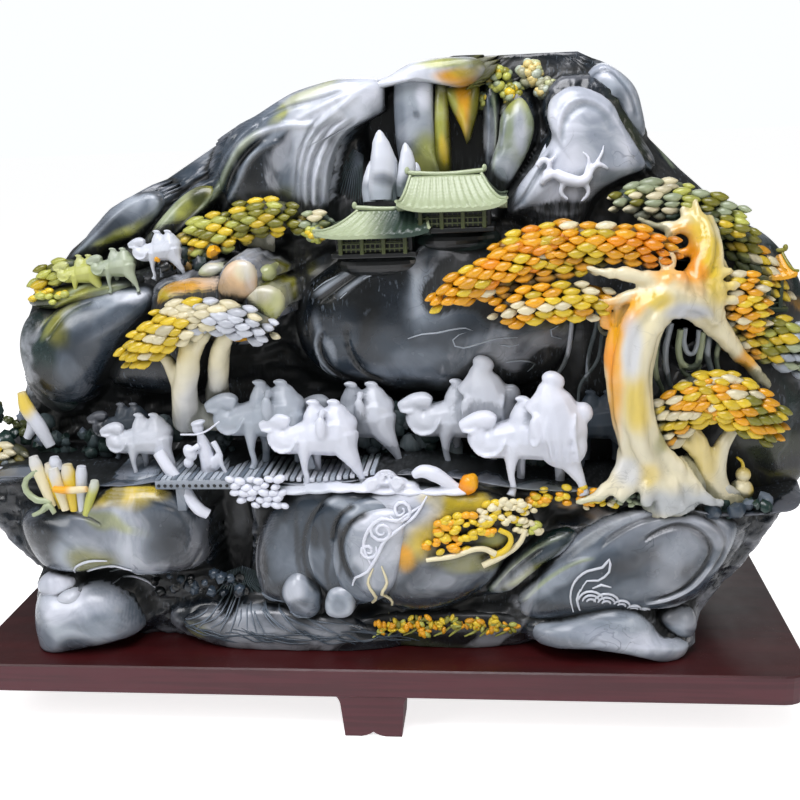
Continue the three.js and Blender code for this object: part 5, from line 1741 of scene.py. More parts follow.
@dataclass(frozen=True)
class LedgeWork:
    """What stands on the caravan's ledge and along its edge."""

    stakes_lines: tuple[tuple[Station, ...], ...] = (
        spots("-302,132,157,4.4 -308,132,182,5.8 -313,132,201,6 -314,132,208,4.2"),
        spots("-294,128,154,4.4 -297,128,177,6.4 -300,128,193,6.6 -301,128,200,4.6"),
        spots("-288,134,154,4.2 -291,134,175,6 -294,134,189,6 -295,134,197,4.4"),
        spots("-280,133,153,4 -280,133,176,6.4 -281,133,193,6.6 -281,133,200,4.6"),
        spots("-272,133,151,4 -270,133,174,5.4 -268,133,191,5.6 -267,133,198,4.2"),
        spots("-267,137,150,3.6 -261,137,166,4.6 -255,137,180,4.8 -254,137,185,3.6"),
        spots("-292,128,193,5 -295,128,201,6 -295,128,206,4"),
    )
    stake_tones: tuple[Tone, ...] = hues("CREAM LEMON CREAM LEMON PEARL LIME PEARL")

    def stakes(self) -> Piece:
        """A leaning row of rounded stakes behind a rail, and the stump at the left."""
        made = []
        for line, tone in zip(self.stakes_lines, self.stake_tones):
            x, _, z, _ = line[-2]
            tip = Patch(Tone.PEARL, x, z + 3, 8, 9, 0, 0.7)
            made.append(painted(limb(line, 3, 4), Paint(tone, (tip,), drift=3)))
        rail = limb(spots("-294,141,178,3 -285,141,177,3.6 -273,141,177,3.6 -261,141,178,3"))
        made.append(painted(rail, shades("AMBER 3 | CREAM -267 177 8 8 0 .9")))
        for line in (
            spots("-335,96,262,4 -332,96,246,7 -322,96,227,7 -313,96,206,5"),
            spots("-330,92,241,5 -330,92,228,6 -338,92,214,4"),
        ):
            stump = limb(line, 4, 6)
            made.append(painted(stump, shades("PEARL 4 | LEMON -333 250 11 15 0 .9")))
        for line in (
            spots("-310,136,196,2 -325,136,180,3 -315,136,165,3.4 -303,136,162,3 -311,136,153,2"),
            spots("-298,138,152,2.4 -303,138,160,3 -311,138,154,2.4 -320,138,150,2"),
        ):
            made.append(painted(limb(line, 3, 3), shades("CELADON 3")))
        return self.smoothed(joined(made, "stake_row"))

    @staticmethod
    def smoothed(piece: Piece) -> Piece:
        """Shades a piece smoothly but for its hard edges."""
        take(piece)
        bpy.ops.object.shade_smooth_by_angle(angle=math.radians(40))
        return piece

    def bridge(self) -> Piece:
        """The plank bridge over the gorge, with its beam ends, and planks along the ledge."""
        made = [
            slab((-146, 97, 179.5), (100, 78, 9), 1.2),
            slab((-174, 126, 166), (9, 9, 30), 1.2),
            slab((-116, 120, 168), (8, 8, 24), 1.2),
        ]
        for part in made:
            painted(part, shades("STEEL 4 | PEARL -146 182 50 10 0 .7"))
        for number in range(19):
            x = -193 + 5.3 * number
            plank = slab((x, 98, 184.6), (4.2, 76 - 3 * (number % 2), 2.4), 0.5)
            made.append(painted(plank, Paint(Tone.MIST if number % 3 else Tone.STEEL, (), drift=4)))
        for number in range(17):
            x = -92 + 6.4 * number
            plank = slab((x, 96, 184 + 5 * math.sin(x / 31)), (4.6, 54, 4), 0.6)
            made.append(painted(plank, Paint(Tone.PEARL if number % 2 else Tone.MIST, (), drift=4)))
        for number in range(13):
            # Painted shade: black lumps stand for the shade inside holes along the bridge's edge.
            hole_shade = ball((-192 + 6 * number, 136.4, 179), (1.7, 1.2, 1.7), 0, 8, 6)
            made.append(painted(hole_shade, shades("JET")))
        return self.smoothed(joined(made, "plank_bridge"))

    def flowers(self) -> list[Piece]:
        """Clusters of round petals: white by the bridge, yellow along the ledge's edge and on the relief tree."""
        rng = np.random.default_rng(12)
        copies = []
        for row in range(5):
            for column in range(6 - row % 2):
                u, w = rng.uniform(-1.4, 1.4, 2)
                place = (-122 + 9.2 * column + 4.6 * (row % 2) + row + u, 136 - 0.6 * row, 184 - 6.4 * row + w)
                if not (row == 4 and column < 2):
                    petal_size, turn = 5.4 * rng.uniform(0.8, 1.15), rng.uniform(-25, 25)
                    copies.append(Copy(place, petal_size, turn, 0, 0, Tone.SNOW.light))
        for x, z, depth, wide, tall, tones, count, size in (
            (190, 164, 126, 34, 9, hues("LEMON AMBER"), 34, 4.4),
            (222, 156, 128, 16, 6, hues("LEMON CREAM"), 10, 3.6),
            (244, 160, 128, 14, 7, hues("CELADON PEARL"), 12, 3.6),
            (96, 140, 142, 26, 12, hues("LEMON LEMON AMBER"), 60, 4.4),
            (134, 152, 136, 26, 11, hues("CREAM LEMON CREAM"), 52, 4.4),
            (150, 136, 134, 16, 8, hues("CREAM LIME"), 14, 4.2),
            (80, 122, 144, 22, 8, hues("LEMON AMBER"), 20, 4.2),
            (-372, 178, 92, 22, 9, hues("CREAM PEARL"), 14, 5),
            (-304, 352, 70, 22, 7, hues("LIME LEMON"), 14, 4.6),
        ):
            u, w = rng.uniform(-1, 1, (2, count))
            across = x + wide * u
            up = z + tall * w * np.sqrt(1 - 0.7 * u * u) - 0.15 * wide * u * u
            under = np.maximum(ground(across, up), depth - 6) + 2 * (1 - u * u)
            for place in zip(across, under + rng.uniform(0, 2.5, count), up):
                tone = tones[rng.integers(len(tones))].light * rng.uniform(0.85, 1.1)
                petal_size, turn = size * rng.uniform(0.8, 1.2), rng.uniform(-30, 30)
                copies.append(Copy(place, petal_size, turn, 0, 0, np.clip(tone, 0, 1)))
        petal = ball((0, 0, 0), (1.05, 0.8, 0.68), 0, 10, 7)
        piece = stamped(petal, copies, "petal_clusters")
        rounded(piece)
        florets = []
        for number in range(15):
            x, z = 8 + 9.2 * number + rng.uniform(-2, 2), 25 + 0.5 * number + rng.uniform(-5, 5)
            start = rng.uniform(0, 360)
            for leaf in range(6):
                angle = math.radians(start + 38 * leaf)
                reach = rng.uniform(3, 7)
                place = (x + reach * math.cos(angle), 121 + rng.uniform(-2, 2), z + reach * math.sin(angle))
                tone = hues("AMBER LEMON LEMON OLIVE AMBER LIME")[rng.integers(6)]
                light = tone.light * rng.uniform(0.75, 1.1)
                turn = math.degrees(angle) + rng.uniform(-30, 30)
                florets.append(Copy(place, rng.uniform(2.6, 4.4), turn, 20, 0, np.clip(light, 0, 1)))
        petal = ball((0, 0, 0), (1.2, 0.7, 0.62), 0, 10, 7)
        garland = stamped(petal, florets, "garland_florets")
        rounded(garland)
        return [piece, garland]

    def clouds(self) -> Piece:
        """The pale lip of the ledge, with a lump of cloud and a pointed white stone on it."""
        lip = [ball((x, 118, z), (22, 20, 4.6), 0, 28, 14) for x, z in spots("-62,171 -41,172 -19,173 3,173 24,171 "
            "46,170 69,170 87,170")]
        made = [*lip]
        for (x, z), size in zip(
            spots("23,182 12,177 34,177 45,175 2,174"), spots("11,9,8 10,9,6 11,9,6 9,8,4 8,8,3.4"),
        ):
            made.append(ball((x, 126, z), size, 0, 20, 12))
        made.append(
            limb(spots("49,130,186,4 58,130,190,6.4 69,130,187,7.4 80,130,180,6 90,130,174,4 99,130,171,2.4"), 3, 5),
        )
        for (x, z), radius in zip(spots("24,186 35,180 12,179"), (9, 7, 6)):
            made.append(limb([(px, 136.5, pz, 1.4) for px, pz in scroll(x, z, radius)], 2, 2))
        bank = fused(made, "cloud_bank", 1.6, 2)
        paint = shades("SNOW 6 | MIST -43 169 47 5 0 .8 | PEARL -62 172 28 6 0 .9")
        return painted(bank, paint)

    def stones(self) -> list[Piece]:
        """Loose stones: rough lumps behind the caravan, the orange stone, the gourd and the beam of white stone."""
        rng = np.random.default_rng(5)
        bpy.ops.mesh.primitive_ico_sphere_add(subdivisions=2, radius=1)
        lump = bpy.context.object
        shape = points(lump)
        move_points(lump, shape * (1 + 0.3 * rng.uniform(-1, 1, (len(shape), 1))) * (1, 0.9, 1.15))
        copies = []
        for x, z, wide, tall, depth, count, size, tones in (
            (36, 208, 50, 24, 58, 46, 7, hues("STEEL SLATE MIST JET")),
            (-60, 204, 60, 18, 58, 24, 6, hues("STEEL DEEP SLATE")),
            (130, 178, 60, 8, 60, 26, 5, hues("DEEP PINE STEEL")),
            (-180, 208, 40, 20, 66, 24, 6, hues("STEEL DEEP MIST")),
            (-300, 196, 40, 14, 60, 24, 6, hues("STEEL DEEP PINE")),
            (-160, 384, 30, 8, 72, 14, 4.6, hues("DEEP AMBER JET")),
            (-170, 66, 50, 10, 112, 26, 4.2, hues("DEEP SLATE JET")),
            (310, 150, 60, 8, 116, 20, 5, hues("SLATE PINE STEEL")),
            (-360, 222, 30, 22, 66, 18, 6, hues("PINE MOSS STEEL")),
        ):
            for _ in range(count):
                place = (x + wide * rng.uniform(-1, 1), depth + rng.uniform(-8, 10), z + tall * rng.uniform(-1, 1))
                tone = tones[rng.integers(len(tones))].light
                copies.append(Copy(place, size * rng.uniform(0.6, 1.5), *rng.uniform(-60, 60, 3), tone))
        rubble = stamped(lump, copies, "ledge_rubble")
        take(rubble)
        bpy.ops.object.shade_smooth_by_angle(angle=math.radians(50))
        amber = ball((101, 130, 178), (9, 8, 9), 20, 10, 7)
        places = points(amber)
        move_points(amber, places + ROUGH.at(places, 7)[:, None] * (3, 2, 3))
        painted(amber, shades("ORANGE 2 | AMBER 108 182 8 8"))
        gourd = [
            ball((352, 98, 158), (11, 11, 11)), ball((353, 97, 173), (7, 7, 7)),
            limb(spots("353,97,178,2 351,98,186,1.4 346,100,191,1.2")),
        ]
        for part in gourd:
            painted(part, shades("LEMON 3 | CREAM 352 166 8 12"))
        beam = limb(spots("-196,116,206,6 -186,120,190,6 -172,124,172,5.4 -158,128,152,6 -150,126,146,5"), 3, 6)
        painted(beam, shades("SNOW 4"))
        small = joined([amber, *gourd, beam], "small_stones")
        rounded(small)
        return [rubble, small]

    def branches(self) -> Piece:
        """Curved branches of the low relief tree, hanging stems and the folds inside the arch."""
        made = []
        for line, tone in (
            (spots("120,138,108,3.4 134,138,116,3 138,138,128,2.6 128,140,136,2.4"), Tone.LEMON),
            (spots("112,140,100,3 128,138,108,3.4 146,134,120,2.6 152,134,134,2.4"), Tone.CREAM),
            (spots("60,146,108,2 84,146,112,2.6 112,142,118,2.6 124,140,112,3"), Tone.CREAM),
            (spots("196,58,338,3 197,60,306,2.6 192,62,276,2.2 180,64,256,1.6"), Tone.PEARL),
            (spots("206,58,338,2.2 208,60,326,2 214,60,330,2 213,58,340,2"), Tone.PEARL),
            (spots("222,58,340,2.6 221,60,310,2.2 214,62,282,2 212,62,256,1.8"), Tone.MIST),
            (spots("226,60,300,1.8 222,62,276,1.8 206,64,252,1.6 204,64,236,1.4"), Tone.MIST),
            (spots("276,88,313,3 272,88,291,3 273,88,267,2.6 281,88,249,2"), Tone.CELADON),
            (spots("285,86,315,3 281,86,292,3 283,86,268,2.8 290,86,247,2"), Tone.MIST),
            (spots("293,90,310,3 292,90,289,3 298,90,276,3 307,90,276,3 311,90,289,3 313,90,307,3"), Tone.CELADON),
            (spots("297,90,311,2.4 297,90,295,2.4 303,90,287,2.2 308,90,295,2.2 309,90,309,2.2"), Tone.MIST),
            (spots("294,88,278,2.4 300,88,267,2.4 307,88,267,2.2 312,88,277,2"), Tone.CELADON),
            (spots("319,88,303,3 318,88,285,3 322,88,270,2.6 324,88,256,2"), Tone.MIST),
            (spots("328,88,297,2.6 326,88,283,2.4 330,88,264,2"), Tone.CELADON),
            (spots("226,70,320,2.2 223,70,309,2 229,70,303,2 235,70,310,2 231,70,320,2"), Tone.CREAM),
        ):
            branch = limb(line, 3, 6)
            made.append(painted(branch, Paint(tone, (), drift=3)))
        piece = joined(made, "relief_branches")
        return rounded(piece)

    def deer(self) -> Piece:
        """A leaping deer in low relief on the white peak, with a curling cloud under it."""
        parts = [
            limb(spots("182,60,450,5 194,62,444,6 206,62,442,5.4 214,61,448,4")),
            limb(spots("182,60,450,4.6 174,60,446,4 170,58,440,3.2")),
            limb(spots("212,61,448,3.4 220,60,456,2.6 230,58,452,1.6")),
            limb(spots("208,62,442,3 212,62,432,2.2 206,62,424,1.6")),
            limb(spots("190,62,442,3 188,62,432,2.2 194,62,426,1.6")),
            limb(spots("176,60,452,2 178,60,460,1.8 184,59,466,1.2")),
            limb(spots("210,61,450,2 212,60,462,1.8 206,59,468,1.2")),
            limb(spots("218,60,456,1.8 224,59,466,1.6 226,57,474,1")),
            limb(spots("166,58,456,3 172,58,462,3 178,59,456,2.4 172,59,450,2")),
        ]
        piece = fused(parts, "deer_relief", 1.5, 2)
        return painted(piece, shades("SNOW"))

    def build(self) -> list[Piece]:
        """Models everything on the ledge and the low relief."""
        made = [self.stakes(), self.bridge(), self.clouds(), self.branches(), self.deer()]
        made += self.flowers() + self.stones()
        return made + [lines.build() for lines in RELIEF_LINES]


class Cutting:
    """How deep each place of the face is cut below its surroundings, from a map of the finished shapes."""

    CELL = 2.5
    LEFT, LOW = -440, -10
    COLUMNS, ROWS = 352, 232
    EMPTY = -40.0
    FINE_DEPTH, BROAD_DEPTH = 9, 42

    def __init__(self, pieces: Iterable[Piece]) -> None:
        """Draws the map of the face's depth.

        Args:
            pieces: everything that is carved, in the carving's space.
        """
        depth = np.full((self.ROWS, self.COLUMNS), self.EMPTY)
        for piece in pieces:
            places = points(piece)
            for seen in (places, places[self.edges(piece)].mean(axis=0)):
                column, row = self.cells(seen)
                np.maximum.at(depth, (row, column), -seen[:, 1])
        for _ in range(3):
            spread = depth.copy()
            for shift, axis in ((1, 0), (-1, 0), (1, 1), (-1, 1)):
                spread = np.maximum(spread, np.roll(depth, shift, axis))
            depth = np.where(depth <= self.EMPTY + 1, spread, depth)
        self.fine = self.blurred(depth, 2)
        self.broad = self.blurred(depth, 8)

    @staticmethod
    def edges(piece: Piece) -> np.ndarray:
        """The ends of a piece's edges, as two rows of vertex numbers."""
        flat = np.empty(len(piece.data.edges) * 2, np.int32)
        piece.data.edges.foreach_get("vertices", flat)
        return flat.reshape(-1, 2).T

    def cells(self, places: np.ndarray) -> tuple[np.ndarray, np.ndarray]:
        """The map's column and row for each place."""
        column = np.clip(((places[:, 0] - self.LEFT) / self.CELL).astype(int), 0, self.COLUMNS - 1)
        row = np.clip(((places[:, 2] - self.LOW) / self.CELL).astype(int), 0, self.ROWS - 1)
        return column, row

    @staticmethod
    def blurred(depth: np.ndarray, reach: int) -> np.ndarray:
        """The map averaged over a square window three times."""
        for _ in range(3):
            for axis in (0, 1):
                pad = [(0, 0), (0, 0)]
                pad[axis] = (reach + 1, reach)
                total = np.cumsum(np.pad(depth, pad, mode="edge"), axis=axis)
                top = np.take(total, range(2 * reach + 1, total.shape[axis]), axis)
                bottom = np.take(total, range(total.shape[axis] - 2 * reach - 1), axis)
                depth = (top - bottom) / (2 * reach + 1)
        return depth

    def mark(self, piece: Piece, reach: float = 1) -> None:
        """Stores on each vertex how far it lies below (-1) or above (1) what is round it.

        Args:
            piece: the piece to mark.
            reach: how strongly it is marked.
        """
        places = points(piece)
        column, row = self.cells(places)
        fine = (-places[:, 1] - self.fine[row, column]) / self.FINE_DEPTH
        broad = (-places[:, 1] - self.broad[row, column]) / self.BROAD_DEPTH
        front = smooth(-40, 10, -places[:, 1])
        value = np.clip(0.9 * fine + 0.5 * broad, -1, 1) * reach * front
        store = piece.data.attributes.new("relief", "FLOAT", "POINT")
        store.data.foreach_set("value", value.astype(np.float32))


class Nodes:
    """A node tree being wired: each added node's inputs are given as values or as other nodes' outputs."""

    def __init__(self, tree: bpy.types.NodeTree) -> None:
        """Starts from an empty tree."""
        self.tree = tree
        tree.nodes.clear()

    def add(self, kind: str, inputs: Optional[dict] = None, **settings: object) -> bpy.types.Node:
        """Adds a node.

        Args:
            kind: the node's type.
            inputs: values or sockets for its inputs, by name or number.
            settings: its other properties.

        Returns:
            The node.
        """
        node = self.tree.nodes.new(kind)
        for name, value in settings.items():
            setattr(node, name, value)
        for key, value in (inputs or {}).items():
            if isinstance(value, bpy.types.NodeSocket):
                self.tree.links.new(value, node.inputs[key])
            else:
                node.inputs[key].default_value = value
        return node

    def math(self, operation: str, *values: object) -> bpy.types.NodeSocket:
        """A calculation on one or more values."""
        return self.add("ShaderNodeMath", dict(enumerate(values)), operation=operation).outputs[0]

    def mix(self, share: object, first: object, second: object, kind: str = "MIX") -> bpy.types.NodeSocket:
        """A mixture of two colours."""
        inputs = {0: share, 6: first, 7: second}
        return self.add("ShaderNodeMix", inputs, data_type="RGBA", blend_type=kind).outputs[2]

    def step(self, value: object, low: float, high: float) -> bpy.types.NodeSocket:
        """A soft step from 0 at low to 1 at high."""
        inputs = {"Value": value, "From Min": low, "From Max": high}
        return self.add("ShaderNodeMapRange", inputs, interpolation_type="SMOOTHSTEP").outputs[0]

    def noise(self, where: object, scale: float, detail: float = 4, bend: float = 0) -> bpy.types.NodeSocket:
        """Noise from 0 to 1."""
        inputs = {"Vector": where, "Scale": scale, "Detail": detail, "Distortion": bend}
        return self.add("ShaderNodeTexNoise", inputs).outputs[0]

    def stretched(self, size: Spot, turn: float = 0) -> bpy.types.NodeSocket:
        """Object coordinates scaled along each axis and turned about the depth axis."""
        where = self.add("ShaderNodeTexCoord").outputs["Object"]
        inputs = {"Vector": where, "Scale": size, "Rotation": (0, math.radians(turn), 0)}
        return self.add("ShaderNodeMapping", inputs).outputs[0]


def group(name: str, inputs: dict[str, object], outputs: dict[str, str], build: Callable) -> bpy.types.NodeTree:
    """Makes a shader node group.

    Args:
        name: its name.
        inputs: each input's default value by name: a number or a colour.
        outputs: each output's socket type by name.
        build: wires the group from its nodes and its input node, and returns a socket for each output.

    Returns:
        The group.
    """
    tree = bpy.data.node_groups.new(name, "ShaderNodeTree")
    nodes = Nodes(tree)
    for label, value in inputs.items():
        kind = "NodeSocketFloat" if isinstance(value, (int, float)) else "NodeSocketColor"
        tree.interface.new_socket(label, in_out="INPUT", socket_type=kind).default_value = value
    for label, kind in outputs.items():
        tree.interface.new_socket(label, in_out="OUTPUT", socket_type=kind)
    start = nodes.add("NodeGroupInput")
    end = nodes.add("NodeGroupOutput")
    for label, socket in build(nodes, start.outputs).items():
        tree.links.new(socket, end.inputs[label])
    return tree


def colour(tone: Tone) -> tuple[float, ...]:
    """A tone as a shader colour."""
    return (*tone.light, 1.0)


def wire_veins(nodes: Nodes, given: bpy.types.NodeSocket) -> dict[str, bpy.types.NodeSocket]:
    """Clouds and veins of the banded stone, laid over its colour."""
    where = nodes.add("ShaderNodeTexCoord").outputs["Object"]
    warp = nodes.add("ShaderNodeTexNoise", {"Vector": where, "Scale": 9.0, "Detail": 3.0}).outputs["Color"]
    bent = nodes.add(
        "ShaderNodeVectorMath", {0: where, 1: nodes.mix(0.12, (0, 0, 0, 1), warp)}, operation="ADD"
    ).outputs[0]
    cloud = nodes.noise(bent, 17, 6, 0.6)
    veil = nodes.step(cloud, 0.34, 0.66)
    shade = nodes.math("MULTIPLY", nodes.math("SUBTRACT", 1.0, veil), given["Strength"])
    tone = nodes.mix(shade, given["Color"], nodes.mix(1.0, given["Color"], (0.3, 0.34, 0.38, 1), "MULTIPLY"))
    glow = nodes.math("MULTIPLY", nodes.step(cloud, 0.56, 0.78), given["Strength"])
    tone = nodes.mix(nodes.math("MULTIPLY", glow, 0.28), tone, colour(Tone.MIST))
    wide = nodes.noise(bent, 8, 5, 0.8)
    soot = nodes.math("MULTIPLY", nodes.step(wide, 0.53, 0.66), given["Strength"])
    tone = nodes.mix(nodes.math("MULTIPLY", soot, 0.5), tone, nodes.mix(1.0, tone, (0.12, 0.14, 0.17, 1), "MULTIPLY"))
    milk = nodes.math("MULTIPLY", nodes.step(wide, 0.47, 0.36), given["Strength"])
    tone = nodes.mix(nodes.math("MULTIPLY", milk, 0.55), tone, colour(Tone.PEARL))
    line = nodes.math("ABSOLUTE", nodes.math("SUBTRACT", nodes.noise(bent, 26, 3, 1.2), 0.5))
    vein = nodes.math("SUBTRACT", 1.0, nodes.step(line, 0.0, 0.014))
    vein = nodes.math("MULTIPLY", vein, nodes.step(nodes.noise(bent, 12), 0.5, 0.7))
    tone = nodes.mix(nodes.math("MULTIPLY", vein, given["Veins"]), tone, colour(Tone.DEEP))
    return {"Color": tone}


def wire_cutting(nodes: Nodes, given: bpy.types.NodeSocket) -> dict[str, bpy.types.NodeSocket]:
    """Dark tooled recesses, partly the stone's dark layer and partly painted shade, and pale raised edges, a painted
    highlight.
    """
    relief = nodes.add("ShaderNodeAttribute", attribute_name="relief").outputs["Fac"]
    hatch = nodes.noise(nodes.stretched((300, 120, 60), 24), 1, 3)
    fleck = nodes.step(nodes.noise(nodes.stretched((420, 300, 130), -24), 1, 2), 0.58, 0.7)
    where = nodes.add("ShaderNodeTexCoord").outputs["Object"]
    fleck = nodes.math("MULTIPLY", fleck, nodes.step(nodes.noise(where, 22, 3, 0.5), 0.48, 0.62))
    bright = nodes.add("ShaderNodeRGBToBW", {0: given["Color"]}).outputs[0]
    black = nodes.step(bright, 0.03, 0.012)
    # Partly painted shade: places lying below what is round them darken towards the crevice tone.
    deep = nodes.step(relief, -0.08, -0.62)
    ragged = nodes.math("MULTIPLY", deep, nodes.math("ADD", 0.72, nodes.math("MULTIPLY", hatch, 0.5)))
    tone = nodes.mix(
        nodes.math("MINIMUM", 1.0, nodes.math("MULTIPLY", ragged, given["Depth"])), given["Color"], given["Crevice"]
    )
    cut = nodes.math("MAXIMUM", nodes.step(relief, -0.35, -0.8), nodes.math("MULTIPLY", black, 0.8))
    tone = nodes.mix(
        nodes.math("MULTIPLY", nodes.math("MULTIPLY", cut, fleck), given["Flecks"]), tone, colour(Tone.STEEL)
    )
    # Painted highlight: places standing above what is round them are lightened towards SNOW.
    rise = nodes.step(relief, 0.06, 0.6)
    tone = nodes.mix(nodes.math("MULTIPLY", rise, given["Edge Highlight"]), tone, colour(Tone.SNOW))
    height = nodes.math("MULTIPLY", nodes.math("MULTIPLY", cut, hatch), given["Flecks"])
    return {"Color": tone, "Height": height, "Recess": deep}


class Marks(Enum):
    """Shader node groups that the stone's finishes share."""

    VEINS = (
        "stone_veins",
        {"Color": (0.5, 0.5, 0.5, 1), "Strength": 0.6, "Veins": 0.6},
        {"Color": "NodeSocketColor"},
        wire_veins,
    )
    # Recess darkening, partly painted shade, and a painted highlight on raised edges.
    CUTTING = (
        "recess_shade_and_edge_highlight",
        {
            "Color": (0.5, 0.5, 0.5, 1), "Crevice": (0.01, 0.01, 0.01, 1), "Depth": 1.0, "Edge Highlight": 0.3,
            "Flecks": 0.5,
        },
        {"Color": "NodeSocketColor", "Height": "NodeSocketFloat", "Recess": "NodeSocketFloat"},
        wire_cutting,
    )

    @property
    def tree(self) -> bpy.types.NodeTree:
        """The node group, made at its first use."""
        return bpy.data.node_groups.get(self.value[0]) or group(*self.value)


@dataclass(frozen=True)
class CarvedStone:
    """A finish of the banded stone: how it is veined, how dark its recesses are, partly as painted shade, how strong
    its painted edge highlight is and how it shines.
    """

    name: str
    crevice: Tone = Tone.JET
    depth: float = 1.0
    # Strength of the painted highlight on raised edges.
    edge_highlight: float = 0.14
    flecks: float = 0.6
    strength: float = 0.75
    veins: float = 0.6
    gloss: float = 0.24
    coat: float = 0.25
    pits: float = 0.3

    def make(self) -> bpy.types.Material:
        """Builds the material."""
        material = bpy.data.materials.new(self.name)
        material.use_nodes = True
        nodes = Nodes(material.node_tree)
        tone = nodes.add("ShaderNodeAttribute", attribute_name="tint").outputs["Color"]
        veined = nodes.add("ShaderNodeGroup", node_tree=Marks.VEINS.tree)
        for label, value in (("Color", tone), ("Strength", self.strength), ("Veins", self.veins)):
            self.feed(nodes, veined, label, value)
        cut = nodes.add("ShaderNodeGroup", node_tree=Marks.CUTTING.tree)
        for label, value in (
            ("Color", veined.outputs["Color"]), ("Crevice", colour(self.crevice)), ("Depth", self.depth),
            ("Edge Highlight", self.edge_highlight), ("Flecks", self.flecks),
        ):
            self.feed(nodes, cut, label, value)
        where = nodes.add("ShaderNodeTexCoord").outputs["Object"]
        grain = nodes.noise(where, 260, 5)
        height = nodes.math("ADD", nodes.math("MULTIPLY", grain, self.pits), cut.outputs["Height"])
        bump = nodes.add("ShaderNodeBump", {"Height": height, "Strength": 0.35, "Distance": 0.0012})
        smear = nodes.math("MULTIPLY", nodes.noise(where, 34, 3), 0.16)
        rough = nodes.math("ADD", smear, nodes.math("MULTIPLY", cut.outputs["Recess"], 0.32))
        rough = nodes.math("ADD", rough, self.gloss - 0.06)
        shader = nodes.add(
            "ShaderNodeBsdfPrincipled",
            {
                "Base Color": cut.outputs["Color"],
                "Roughness": rough,
                "Normal": bump.outputs[0],
                "Coat Weight": self.coat,
                "Coat Roughness": 0.12,
                "IOR": 1.54,
                "Subsurface Scale": 0.006,
            },
        )
        nodes.add("ShaderNodeOutputMaterial", {"Surface": shader.outputs[0]})
        return material

    @staticmethod
    def feed(nodes: Nodes, node: bpy.types.Node, label: str, value: object) -> None:
        """Gives one input of a node its value or its link."""
        if isinstance(value, bpy.types.NodeSocket):
            nodes.tree.links.new(value, node.inputs[label])
        else:
            node.inputs[label].default_value = value


@dataclass(frozen=True)
class Lacquer:
    """Dark red lacquer on wood: close streaks along the board, brush marks and dust, with the sides and edges painted
    paler than the top as painted light.
    """

    # Painted light: one lacquer gets a darker tone for the top and a paler one for the sides.
    top: str = "3C0A0C"
    side: str = "521C26"

    def make(self) -> bpy.types.Material:
        """Builds the material."""
        material = bpy.data.materials.new("lacquered_wood")
        material.use_nodes = True
        nodes = Nodes(material.node_tree)
        grain = nodes.noise(nodes.stretched((7, 60, 160)), 1, 6, 0.4)
        facing = nodes.add("ShaderNodeNewGeometry").outputs["Normal"]
        up = nodes.add("ShaderNodeSeparateXYZ", {0: facing}).outputs["Z"]
        # Painted light: faces turning away from the top take the paler side tone.
        tone = nodes.mix(nodes.step(up, 0.3, 0.9), (*linear(self.side), 1.0), (*linear(self.top), 1.0))
        streak = nodes.mix(1.0, tone, (0.55, 0.5, 0.5, 1), "MULTIPLY")
        tone = nodes.mix(nodes.math("MULTIPLY", nodes.step(grain, 0.42, 0.62), 0.6), tone, streak)
        where = nodes.add("ShaderNodeTexCoord").outputs["Object"]
        dust = nodes.step(nodes.noise(where, 900, 2), 0.66, 0.78)
        cloud = nodes.step(nodes.noise(where, 30, 4), 0.4, 0.7)
        dust = nodes.math("MULTIPLY", nodes.math("MULTIPLY", dust, cloud), nodes.step(up, 0.5, 0.9))
        tone = nodes.mix(nodes.math("MULTIPLY", dust, 0.5), tone, (0.42, 0.30, 0.28, 1))
        bump = nodes.add("ShaderNodeBump", {"Height": grain, "Strength": 0.12, "Distance": 0.001})
        rough = nodes.math("ADD", 0.3, nodes.math("MULTIPLY", nodes.noise(where, 60, 4), 0.25))
        shader = nodes.add(
            "ShaderNodeBsdfPrincipled",
            {
                "Base Color": tone, "Roughness": rough, "Normal": bump.outputs[0],
                "Coat Weight": 0.12, "Coat Roughness": 0.25,
            },
        )
        nodes.add("ShaderNodeOutputMaterial", {"Surface": shader.outputs[0]})
        return material


def seat(piece: Piece, material: bpy.types.Material) -> None:
    """Sets a finished stone piece in the frame, in metres, and dresses it.

    Args:
        piece: the piece, in the carving's space.
        material: its finish.
    """
    low, high = (np.array(corner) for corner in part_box(STONE))
    places = (points(piece) + (SIDE_SHIFT, 0, BOARD_TOP)) * MM
    move_points(piece, np.clip(places, low, high))
    piece.data.materials.clear()
    piece.data.materials.append(material)
    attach(piece, "root")
    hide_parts(STONE)
    LOG.info("%s: %d faces", piece.name, len(piece.data.polygons))


@dataclass(frozen=True)
class Stand:
    """The lacquered board and its four feet, which keep the shapes of the solids."""

    nodes: tuple[str, ...] = ("stand_board", "foot_front", "foot_back", "foot_left", "foot_right")

    def dress(self) -> None:
        """Gives the board and the feet their lacquer."""
        lacquer = Lacquer().make()
        for name in self.nodes:
            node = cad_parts[name]
            node.data.materials.clear()
            node.data.materials.append(lacquer)
            LOG.info("%s: lacquered", name)


